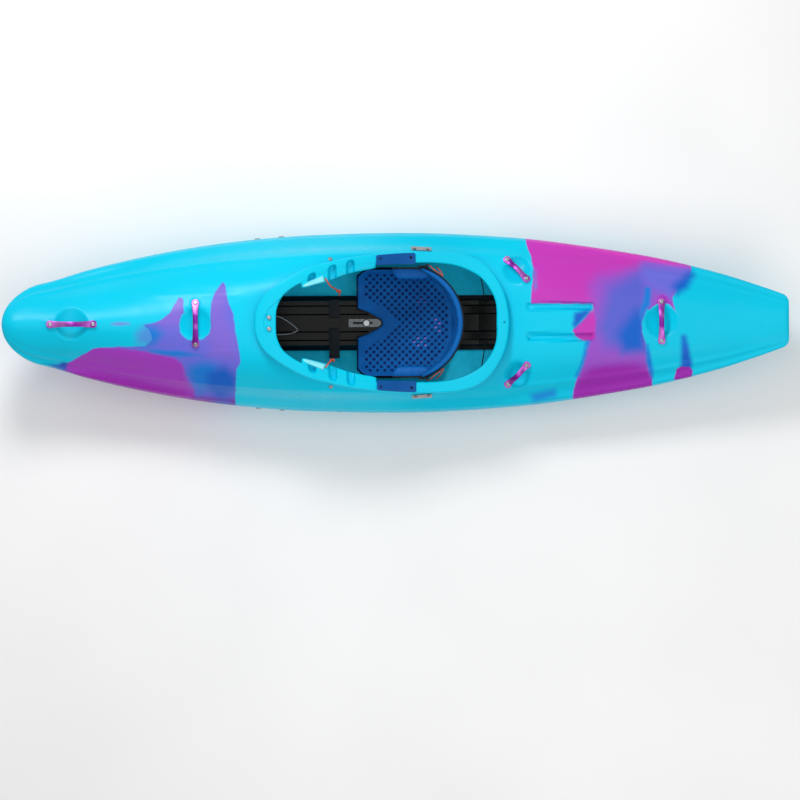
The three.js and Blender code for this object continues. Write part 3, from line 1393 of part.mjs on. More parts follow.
// Cord cleats: wedges on the front of the braces, with a pull cord and its knot behind each.
function addCleats() {
  bothSides.forEach(([word, side]) => {
    const rings = cleatStationShares.map((share) => {
      const x = CLEAT_FRONT_X + share * CLEAT_LENGTH;
      const y = CLEAT_FRONT_Y + share * (CLEAT_REAR_Y - CLEAT_FRONT_Y);
      const z = rimTopAt(x) - BRACE_DROP + CLEAT_STAND;
      const top = z + CLEAT_LOW + share * (CLEAT_HIGH - CLEAT_LOW);
      const half = CLEAT_HALF * (cleatFrontShare + (1 - cleatFrontShare) * share);
      return [
        [y - half, z],
        [y + half, z],
        [y + half * cleatCrestShare, top],
        [y - half * cleatCrestShare, top],
      ].map(([v, height]) => new THREE.Vector3(x, side * v, height));
    });
    addPiece(`cord_cleat_${word}`, loft(rings), paint.cleat);
  });
  pullCords.forEach(({ word, route, knot }) => {
    const cord = solidOf(cordGeometry(route.map(onHull), PULL_CORD_RADIUS, PULL_CORD_STEPS));
    const ball = new THREE.IcosahedronGeometry(KNOT_RADIUS, 1).translate(...onHull(knot));
    addPiece(`pull_cord_${word}`, geometryOf(cord.add(solidOf(ball))), paint.orange);
  });
}

// Cords that the kayak holds at both ends, and the strap across the beam.
function addCords() {
  bothSides.forEach(([word, side]) => {
    const backrestRoute = mirrored(backrestCordRoute, side).map(onSeat);
    const backrest = cordGeometry(backrestRoute, THIN_CORD_RADIUS, BACKREST_CORD_STEPS);
    addPiece(`backrest_cord_${word}`, backrest, paint.orange);
    const hullRoute = mirrored(bungeeRoute, side).map(onHull);
    const bungee = cordGeometry(hullRoute, THIN_CORD_RADIUS, BUNGEE_STEPS);
    addPiece(`bungee_${word}`, bungee, paint.black);
  });
  const frontRoute = frontCordRoute.map(onHull);
  addPiece("front_cord", cordGeometry(frontRoute, FRONT_CORD_RADIUS, FRONT_CORD_STEPS), paint.greyPlate);
}

function addStrap() {
  const z = TRAY_RAIL_Z + CLEARANCE;
  const line = [
    [TRAY_RAIL_OUTER, z],
    [-TRAY_RAIL_OUTER + TRAY_FILLET, z],
    [-TRAY_HALF_WIDTH - SLIDE_GAP, (TRAY_BASE_Z + z) / 2],
    [-STRAP_END_Y, floorHeight(STRAP_X, STRAP_END_Y) + CLEARANCE + SLIDE_GAP / 2],
  ];
  const rings = line.map(([y, height]) =>
    [
      [STRAP_X, height],
      [STRAP_X, height + STRAP_THICKNESS],
      [STRAP_X + STRAP_WIDTH, height + STRAP_THICKNESS],
      [STRAP_X + STRAP_WIDTH, height],
    ].map(([x, v]) => new THREE.Vector3(x, y, v)),
  );
  addPiece("cross_strap", loft(rings), paint.black);
  const bx = STRAP_X - BUCKLE_OVERHANG;
  const bz = z + STRAP_THICKNESS + CLEARANCE;
  const buckle = blockSolid(
    bx,
    STRAP_X + STRAP_WIDTH + BUCKLE_OVERHANG,
    BUCKLE_Y,
    BUCKLE_Y + BUCKLE_LENGTH,
    bz,
    bz + BUCKLE_HEIGHT,
  );
  addPiece("strap_buckle", geometryOf(buckle), paint.black);
}

// Steel plates on the deck beside the rim, each with the heads and shanks of its two studs.
const hangers = bothSides.map(([word, side]) => {
  const normal = deckNormal(HANGER_X, side * HANGER_Y);
  const point = new THREE.Vector3(HANGER_X, side * HANGER_Y, deckHeight(HANGER_X, HANGER_Y));
  return { word, side, frame: frameAt(point.addScaledVector(normal, HANGER_STAND), normal), normal };
});

function hangerSolids({ side, frame }, grow) {
  const level = new THREE.Matrix4();
  return [-1, 1].map((end) => {
    level.makeTranslation((end * HANGER_PITCH) / 2, 0, 0);
    const top = grow ? OVERRUN : STUD_HEAD_HEIGHT;
    return cylinderSolid(STUD_RADIUS + grow, -STUD_LENGTH - grow, top, frame.clone().multiply(level));
  });
}

function addHangers() {
  hangers.forEach((hanger) => {
    const plate = new THREE.BoxGeometry(HANGER_LENGTH, HANGER_WIDTH, HANGER_THICKNESS);
    plate.translate(0, 0, HANGER_THICKNESS / 2).applyMatrix4(hanger.frame);
    let solid = solidOf(plate);
    hangerSolids(hanger, 0).forEach((stud) => (solid = solid.add(stud)));
    [-1, 1].forEach((end) => {
      const place = new THREE.Matrix4().makeTranslation((end * HANGER_PITCH) / 2, 0, 0);
      const frame = hanger.frame.clone().multiply(place);
      const top = HANGER_THICKNESS + STUD_HEAD_HEIGHT;
      solid = solid.add(cylinderSolid(STUD_HEAD_RADIUS, HANGER_THICKNESS / 2, top, frame));
    });
    addPiece(`hanger_plate_${hanger.word}`, geometryOf(solid), paint.steel);
  });
}

const rimBolts = bothSides.map(([word, side]) => {
  const point = new THREE.Vector3(RIM_BOLT_X, side * RIM_BOLT_Y, rimTopAt(RIM_BOLT_X) + RIM_BOLT_STAND);
  return { word, frame: frameAt(point, new THREE.Vector3(0, 0, 1)) };
});

// Channels of the rear deck, deeper towards the stern; grown by the wall they shape its underside.
function deckChannels(grow) {
  return bothSides.map(([, side]) => {
    const y = side * CHANNEL_Y;
    const front = deckHeight(CHANNEL_FRONT_X, CHANNEL_Y) - CHANNEL_FRONT_DEPTH;
    const rear = deckHeight(CHANNEL_REAR_X, CHANNEL_Y) - CHANNEL_REAR_DEPTH;
    const shape = new THREE.Shape([
      new THREE.Vector2(CHANNEL_FRONT_X - grow, front - grow),
      new THREE.Vector2(CHANNEL_REAR_X + grow, rear - grow),
      new THREE.Vector2(CHANNEL_REAR_X + grow, HULL_HEIGHT),
      new THREE.Vector2(CHANNEL_FRONT_X - grow, HULL_HEIGHT),
    ]);
    const width = CHANNEL_WIDTH + 2 * grow;
    const wedge = new THREE.ExtrudeGeometry(shape, upright(width));
    return solidOf(wedge.rotateX(Math.PI / 2).translate(0, y + width / 2, 0));
  });
}

function addHull() {
  const seats = handleSeats();
  let outside = hullOutside().subtract(blockSolid(BOW_X, STERN_X, -HALF_BEAM, HALF_BEAM, -OVERRUN, 0));
  let inside = hullInside(WALL);
  seats.forEach(({ ball }) => {
    outside = outside.subtract(ball(0));
    inside = inside.subtract(ball(WALL));
  });
  deckChannels(0).forEach((channel) => (outside = outside.subtract(channel)));
  deckChannels(WALL).forEach((channel) => (inside = inside.subtract(channel)));
  let hull = outside.subtract(inside).subtract(cockpitPlug()).add(rimHoop());
  seats.forEach(({ lands, holes }) => {
    lands.forEach((land) => (hull = hull.add(land)));
    holes.forEach((hole) => (hull = hull.subtract(hole)));
  });
  braceBolts.forEach(({ frame }) => {
    hull = hull.add(cylinderSolid(BOLT_HEAD_RADIUS + SLIDE_GAP, -LAND_STAND - WALL, -CLEARANCE, frame));
    hull = hull.subtract(cylinderSolid(BOLT_RADIUS + CLEARANCE, -OVERRUN, OVERRUN, frame));
  });
  coverScrews.forEach(({ frame }) => {
    hull = hull.subtract(cylinderSolid(SCREW_RADIUS + CLEARANCE, -SCREW_LENGTH - CLEARANCE, OVERRUN, frame));
  });
  rimBolts.forEach(({ word, frame }) => {
    const depth = RIM_BOLT_LENGTH + CLEARANCE;
    hull = hull.subtract(cylinderSolid(BOLT_RADIUS + CLEARANCE, -depth, OVERRUN, frame));
    addBolt(`rim_bolt_${word}`, frame, BOLT_HEAD_RADIUS, BOLT_HEAD_HEIGHT, BOLT_RADIUS, RIM_BOLT_LENGTH);
  });
  hangers.forEach((hanger) => {
    hangerSolids(hanger, CLEARANCE).forEach((hole) => (hull = hull.subtract(hole)));
  });
  bothSides.forEach(([, side]) =>
    SIDE_BOLT_XS.forEach((x) => {
      const { frame } = sideBoltFrame(x, side);
      hull = hull.subtract(cylinderSolid(BOLT_RADIUS + CLEARANCE, -OVERRUN, OVERRUN, frame));
    }),
  );
  addPiece("hull_shell", geometryOf(hull), paint.hull);
}

addHull();
handles.forEach(addHandle);
addTray();
addPillars();
addFootrests();
addSeat();
addHipPads();
addBackrest();
addAdjuster();
addBraces();
addCoverPlates();
addCleats();
addCords();
addStrap();
addHangers();

export default kayak;
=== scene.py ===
import math

import bmesh
import bpy
import numpy as np
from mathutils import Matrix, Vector


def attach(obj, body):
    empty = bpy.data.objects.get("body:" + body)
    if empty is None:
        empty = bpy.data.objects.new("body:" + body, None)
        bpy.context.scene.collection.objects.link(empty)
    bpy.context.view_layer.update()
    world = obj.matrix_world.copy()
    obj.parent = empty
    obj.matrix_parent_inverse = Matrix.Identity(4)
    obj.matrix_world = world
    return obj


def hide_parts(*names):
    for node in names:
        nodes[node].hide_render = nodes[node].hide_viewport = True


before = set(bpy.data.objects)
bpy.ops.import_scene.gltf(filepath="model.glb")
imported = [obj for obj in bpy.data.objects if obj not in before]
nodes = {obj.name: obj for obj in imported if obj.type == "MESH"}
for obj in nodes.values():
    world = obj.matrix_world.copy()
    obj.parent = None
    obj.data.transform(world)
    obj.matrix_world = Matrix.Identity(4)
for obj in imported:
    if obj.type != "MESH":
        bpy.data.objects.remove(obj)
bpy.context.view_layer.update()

MM = 0.001


def mm(*values):
    """A place or sizes in millimetres, as metres."""
    return tuple(value * MM for value in values)


# Camera: straight above the kayak, far off, so that the view is close to a parallel one
CAMERA_HEIGHT = 80.0
CAMERA_CENTRE = (0.014, -0.2714)
CAMERA_TURN = -0.31
OUTLINE_HEIGHT = 0.2
FRAME_WIDTH = 2.808
SENSOR_WIDTH = 36.0

camera_data = bpy.data.cameras.new("camera")
camera_data.sensor_width = SENSOR_WIDTH
camera_data.lens = SENSOR_WIDTH * (CAMERA_HEIGHT - OUTLINE_HEIGHT) / FRAME_WIDTH
camera_data.clip_end = 2 * CAMERA_HEIGHT
camera = bpy.data.objects.new("camera", camera_data)
camera.location = (*CAMERA_CENTRE, CAMERA_HEIGHT)
camera.rotation_euler = (0, 0, math.radians(CAMERA_TURN))
bpy.context.collection.objects.link(camera)
scene = bpy.context.scene
scene.camera = camera
scene.view_settings.view_transform = "Standard"


# Curves
def curve_points(points, steps, closed=False):
    """A centripetal Catmull-Rom curve through the points, with this many steps between two of them."""
    p = np.array(points, float)
    count = len(p)
    spans = count if closed else count - 1
    if closed:
        ring = [p[(i - 1) % count] for i in range(count + 3)]
    else:
        ring = [2 * p[0] - p[1], *p, 2 * p[-1] - p[-2]]
    ring = np.array(ring)
    share = np.linspace(0, 1, steps, endpoint=False)[:, None]
    made = []
    for i in range(spans):
        p0, p1, p2, p3 = ring[i : i + 4]
        d0, d1, d2 = (max(np.linalg.norm(b - a), 1e-9) ** 0.5 for a, b in ((p0, p1), (p1, p2), (p2, p3)))
        t1 = ((p1 - p0) / d0 - (p2 - p0) / (d0 + d1) + (p2 - p1) / d1) * d1
        t2 = ((p2 - p1) / d1 - (p3 - p1) / (d1 + d2) + (p3 - p2) / d2) * d1
        c2 = -3 * p1 + 3 * p2 - 2 * t1 - t2
        c3 = 2 * p1 - 2 * p2 + t1 + t2
        made.append(p1 + t1 * share + c2 * share**2 + c3 * share**3)
    if not closed:
        made.append(ring[-2][None])
    return np.concatenate(made)


def value_at(table, column, along):
    """A smooth value from a table: a cubic through the rows, whose slopes are those of the neighbours."""
    last = len(table) - 1
    i = 0
    while i < last - 1 and table[i + 1][0] < along:
        i += 1

    def slope(k):
        """The slope at one row, from the rows beside it."""
        before, after = table[max(k - 1, 0)], table[min(k + 1, last)]
        return (after[column] - before[column]) / (after[0] - before[0])

    span = table[i + 1][0] - table[i][0]
    t = min(max((along - table[i][0]) / span, 0), 1)
    return (
        (2 * t**3 - 3 * t**2 + 1) * table[i][column]
        + (t**3 - 2 * t**2 + t) * span * slope(i)
        + (3 * t**2 - 2 * t**3) * table[i + 1][column]
        + (t**3 - t**2) * span * slope(i + 1)
    )


def smooth_step(low, high, value):
    """0 below low, 1 above high, and a soft rise between them; it takes arrays."""
    t = np.clip((np.asarray(value, float) - low) / (high - low), 0, 1)
    return t * t * (3 - 2 * t)


# Meshes and objects
def mesh_object(name, points, faces, body="hull", smooth=True):
    """A mesh from points in millimetres, made to face outwards, that rides on a body."""
    mesh = bpy.data.meshes.new(name)
    mesh.from_pydata([tuple(p) for p in np.asarray(points, float) * MM], [], [tuple(f) for f in faces])
    tidy = bmesh.new()
    tidy.from_mesh(mesh)
    bmesh.ops.remove_doubles(tidy, verts=tidy.verts, dist=1e-6)
    bmesh.ops.recalc_face_normals(tidy, faces=tidy.faces)
    tidy.to_mesh(mesh)
    tidy.free()
    if smooth:
        mesh.shade_smooth()
    title = f"{name}_skin" if name in nodes else name
    piece = bpy.data.objects.new(title, mesh)
    bpy.context.collection.objects.link(piece)
    if body:
        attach(piece, body)
    return piece


def loft(rings, hoop=False):
    """The points and faces of a skin through rings of equal count; hoop closes it along its length."""
    rings = [np.asarray(ring, float) for ring in rings]
    count, length = len(rings[0]), len(rings)
    faces = []
    for i in range(length if hoop else length - 1):
        a, b = i * count, ((i + 1) % length) * count
        for j in range(count):
            k = (j + 1) % count
            faces.append((a + j, a + k, b + k, b + j))
    if not hoop:
        faces.append(tuple(range(count)))
        faces.append(tuple((length - 1) * count + j for j in range(count)))
    return np.concatenate(rings), faces


def tube(line, radius, sides=12, closed=False):
    """The rings of a round bar along a line of points; radius is one number or one for each point."""
    line = np.asarray(line, float)
    radii = np.broadcast_to(radius, len(line))
    if closed:
        along = np.roll(line, -1, 0) - np.roll(line, 1, 0)
    else:
        along = np.gradient(line, axis=0)
    along /= np.linalg.norm(along, axis=1)[:, None]
    side = np.cross(along[0], (0.0, 0.0, 1.0))
    if np.linalg.norm(side) < 1e-3:
        side = np.array((1.0, 0.0, 0.0))
    rings = []
    for p, a, r in zip(line, along, radii):
        side = side - a * np.dot(side, a)
        side /= np.linalg.norm(side)
        up = np.cross(a, side)
        angles = np.linspace(0, 2 * np.pi, sides, endpoint=False)
        rings.append(p + r * (np.cos(angles)[:, None] * side + np.sin(angles)[:, None] * up))
    return rings


def sharpen(piece, degrees):
    """Edges sharper than this show as edges, the rest is smooth."""
    piece.data.shade_smooth()
    piece.data.set_sharp_from_angle(angle=math.radians(degrees))


def cut_or_join(piece, cutter, operation):
    """Cuts or joins with another object, which is then removed; its faces keep their material."""
    bpy.context.view_layer.objects.active = piece
    modifier = piece.modifiers.new("boolean", "BOOLEAN")
    modifier.operation = operation
    modifier.object = cutter
    modifier.solver = "EXACT"
    modifier.material_mode = "TRANSFER"
    bpy.ops.object.modifier_apply(modifier=modifier.name)
    bpy.data.objects.remove(cutter)


def finish_piece(piece, material, replaced, sharp=None):
    """Gives a piece its material, sharpens it where asked, and hides the solid that it stands for."""
    if sharp:
        sharpen(piece, sharp)
    piece.data.materials.append(material)
    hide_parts(replaced)


def vertex_places(mesh):
    """A mesh's points in millimetres."""
    places = np.empty(3 * len(mesh.vertices))
    mesh.vertices.foreach_get("co", places)
    return places.reshape(-1, 3) / MM


def store_values(mesh, name, values):
    """Stores one number at every vertex, for a material to read."""
    mesh.attributes.new(name, "FLOAT", "POINT").data.foreach_set("value", values)


BOTH_SIDES = (("starboard", 1), ("port", -1))


def mirrored(points, side):
    """The same points on the side that 1, for starboard, or -1 names."""
    return [(x, side * y, z) for x, y, z in points]


# Free cords: the two pull cords at the braces, each an overhand knot on 5 mm accessory cord
PULL_CORD_RADIUS_MM = 2.5
BRAID_SIDES = 16
BRAID_STEPS = 28
BRAID_RELIEF = 0.07
BRAID_STRANDS = 4
BRAID_TURN = 0.9
KNOT_SIZE_MM = 3.0
KNOT_CORD_MM = 2.3
KNOT_STEPS = 96
KNOT_STRETCH = (0.8, 0.9, 0.8)

pull_cord_routes = {
    "starboard": [
        (-246, 156, 404),
        (-239, 146, 403),
        (-228, 130, 392),
        (-214, 121, 360),
        (-198, 110, 330),
        (-196, 96, 302),
    ],
    "port": [
        (-246, -156, 404),
        (-239, -146, 403),
        (-228, -134, 394),
        (-222, -132, 368),
        (-220, -130, 344),
        (-220, -126, 318),
    ],
}
knot_places = {"starboard": (-199, 111, 331), "port": (-222, -131, 356)}


def braided(rings):
    """Gives a cord's rings the relief of strands that cross each other round it."""
    shaped = []
    for i, ring in enumerate(rings):
        centre = ring.mean(0)
        angles = BRAID_STRANDS * np.linspace(0, 2 * np.pi, len(ring), endpoint=False)
        strand = np.cos(angles + BRAID_TURN * i) * np.cos(angles - BRAID_TURN * i)
        swell = 1 - BRAID_RELIEF + BRAID_RELIEF * 2 * strand[:, None] ** 2
        shaped.append(centre + (ring - centre) * swell)
    return shaped


def trefoil(centre, size):
    """The path of a simple tight knot round a point."""
    t = np.linspace(0, 2 * np.pi, KNOT_STEPS, endpoint=False)
    flat = np.stack((np.sin(t) + 2 * np.sin(2 * t), -np.sin(3 * t), np.cos(t) - 2 * np.cos(2 * t)), 1)
    return np.asarray(centre, float) + flat * size * KNOT_STRETCH


pull_cords, pull_knots = [], []
for word, route in pull_cord_routes.items():
    line = curve_points(route, BRAID_STEPS)
    cord = mesh_object(f"pull_cord_{word}", *loft(braided(tube(line, PULL_CORD_RADIUS_MM, BRAID_SIDES))))
    knot_line = trefoil(knot_places[word], KNOT_SIZE_MM)
    knot = mesh_object(
        f"pull_cord_{word}_knot", *loft(braided(tube(knot_line, KNOT_CORD_MM, BRAID_SIDES, True)), True)
    )
    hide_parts(f"pull_cord_{word}")
    pull_cords.append(cord)
    pull_knots.append(knot)


# Materials
def srgb(hex_colour):
    """A colour written as sRGB hex, in the linear values that Blender's nodes take."""
    parts = [int(hex_colour[i : i + 2], 16) / 255 for i in (1, 3, 5)]
    return (*(c / 12.92 if c <= 0.04045 else ((c + 0.055) / 1.055) ** 2.4 for c in parts), 1.0)


def add(tree, kind, inputs, **settings):
    """Adds a node. Each of inputs, by name or number, is linked from a socket or set to a constant."""
    node = tree.nodes.new(kind)
    for name, value in settings.items():
        setattr(node, name, value)
    for name, value in inputs.items():
        if isinstance(value, bpy.types.NodeSocket):
            tree.links.new(value, node.inputs[name])
        else:
            node.inputs[name].default_value = value
    return node


def new_material(name):
    """An empty node material, its tree and the object's own coordinates in metres."""
    material = bpy.data.materials.new(name)
    material.use_nodes = True
    tree = material.node_tree
    tree.nodes.clear()
    place = tree.nodes.new("ShaderNodeTexCoord").outputs["Object"]
    return material, tree, place


def close_material(tree, **inputs):
    """The shader and the output; inputs are the shader's, with spaces as underscores."""
    named = {name.replace("_", " "): value for name, value in inputs.items()}
    shader = add(tree, "ShaderNodeBsdfPrincipled", named)
    add(tree, "ShaderNodeOutputMaterial", {"Surface": shader.outputs[0]})


def noise(tree, place, size_mm, detail=3.0, roughness=0.5):
    """Noise whose features are about this many millimetres wide."""
    inputs = {"Vector": place, "Scale": 1 / (size_mm * MM), "Detail": detail, "Roughness": roughness}
    return add(tree, "ShaderNodeTexNoise", inputs)


def math_node(tree, operation, *values, kind="ShaderNodeMath"):
    """One sum of numbers or sockets; kind makes it a sum of vectors."""
    return add(tree, kind, dict(enumerate(values)), operation=operation).outputs[0]


# How far a noise's value swings: most of its range, and the narrower part that makes clouds with soft edges
NOISE_RANGE = (0.3, 0.7)
CLOUD_RANGE = (0.35, 0.65)


def ramp(tree, factor, low, high, out_low, out_high, step="LINEAR"):
    """Maps a value from one range to another, kept inside it."""
    inputs = {"Value": factor, "From Min": low, "From Max": high, "To Min": out_low, "To Max": out_high}
    return add(tree, "ShaderNodeMapRange", inputs, interpolation_type=step).outputs["Result"]


def mix(tree, factor, first, second):
    """Mixes two colours."""
    inputs = {"Factor": factor, 6: first, 7: second}
    return add(tree, "ShaderNodeMix", inputs, data_type="RGBA").outputs[2]


def bump(tree, height, depth_mm, normal=None):
    """A bump of this depth from a height between 0 and 1."""
    inputs = {"Height": height, "Distance": depth_mm * MM, "Strength": 1.0}
    if normal is not None:
        inputs["Normal"] = normal
    return add(tree, "ShaderNodeBump", inputs).outputs["Normal"]


CLOUD_PER_GRAIN = 14
WORN_SHARE = 0.5
GLOSS_CHANGE = 0.15


def plain_material(name, colour, worn, roughness, grain_mm, depth_mm, metallic=0.0, painted_glow=0.0, **more):
    """Two close colours in soft clouds, a little change of gloss, and a fine grain."""
    material, tree, place = new_material(name)
    cloud = noise(tree, place, grain_mm * CLOUD_PER_GRAIN).outputs["Fac"]
    colours = mix(tree, ramp(tree, cloud, *CLOUD_RANGE, 0.0, WORN_SHARE), srgb(colour), srgb(worn))
    duller = min(roughness * (1 + GLOSS_CHANGE), 1.0)
    gloss = ramp(tree, cloud, *NOISE_RANGE, roughness * (1 - GLOSS_CHANGE), duller)
    normal = bump(tree, noise(tree, place, grain_mm).outputs["Fac"], depth_mm)
    # Painted light: where asked, the colours glow a little of their own, though the part is no lamp
    if painted_glow:
        more.update(Emission_Color=colours, Emission_Strength=painted_glow)
    close_material(tree, Base_Color=colours, Roughness=gloss, Metallic=metallic, Normal=normal, **more)
    return material


# Rotomoulded polyethylene, seen from inside: one even colour, dull from the open side of the mould. A faint
# glow of its own colour is painted in as light, standing in for daylight through the wall.
hull_inside = plain_material(
    "polyethylene_inside", "#00AECC", "#009DBC", 0.55, 1.6, 0.1, painted_glow=0.14, Specular_IOR_Level=0.15
)
# Passivated stainless steel with fine turning marks
steel = plain_material("stainless_steel_turned", "#A9ACAE", "#8E9295", 0.28, 0.6, 0.02, metallic=1.0)
# Black-oxidised stainless steel of the cover plates' screws
dark_steel = plain_material("stainless_steel_blackened", "#1C2233", "#12161F", 0.34, 0.6, 0.02, metallic=0.8)
# Brushed and dark-anodised aluminium of the adjuster and the footrest rails
grey_metal = plain_material("aluminium_anodised_grey", "#676C6F", "#4A4F52", 0.4, 0.5, 0.02, metallic=0.9)
# Injection-moulded polyethylene with a fine spark-eroded grain
black_plastic = plain_material(
    "plastic_moulded_black", "#08090A", "#0D0E10", 0.26, 0.9, 0.03, Specular_IOR_Level=0.16
)
# Closed-cell foam sawn from a block
black_foam = plain_material("foam_closed_cell_black", "#202123", "#2A2B2D", 0.92, 1.2, 0.35)
# Moulded polyethylene plates, a little glossier than the foam beside them
blue_plastic = plain_material(
    "plastic_moulded_blue", "#00529C", "#004A8E", 0.4, 0.8, 0.03, Specular_IOR_Level=0.2
)
# Hip pads: firm blue foam with a skin
hip_foam = plain_material(
    "foam_skinned_blue", "#0068BC", "#005EAE", 0.62, 0.9, 0.12, Specular_IOR_Level=0.25
)
# Clear-coated cast plastic of the cleats, in a pale near-white cyan: partly the cleats' own cyan, partly a
# painted highlight
cleat_highlight_plastic = plain_material("plastic_cast_gloss_painted_highlight", "#7FE9F5", "#5BDCEB", 0.1, 2.0, 0.02, Coat_Weight=0.8)


# The hull's plastic: rotomoulded polyethylene of coloured powders that melted into each other in the mould.
# Each patch or cloud lies over the ones before it.
CYAN = "#00CDEC"
CYAN_DEEP = "#00BFDF"
MAGENTA = "#C43AB8"
ORCHID = "#A53EC0"
MAGENTA_DEEP = "#9C2AAE"
ROSE = "#D141BC"
PLUM = "#9A52C8"
VIOLET = "#6C6CDA"
BLUE_VIOLET = "#5C63CE"
BLUE = "#1162CA"
SKY = "#1A7CD8"
PALE_BLUE = "#4C96DE"
PURPLE = "#7C1F9C"
LILAC = "#7F68D2"
DEEP_BLUE = "#0A56B4"
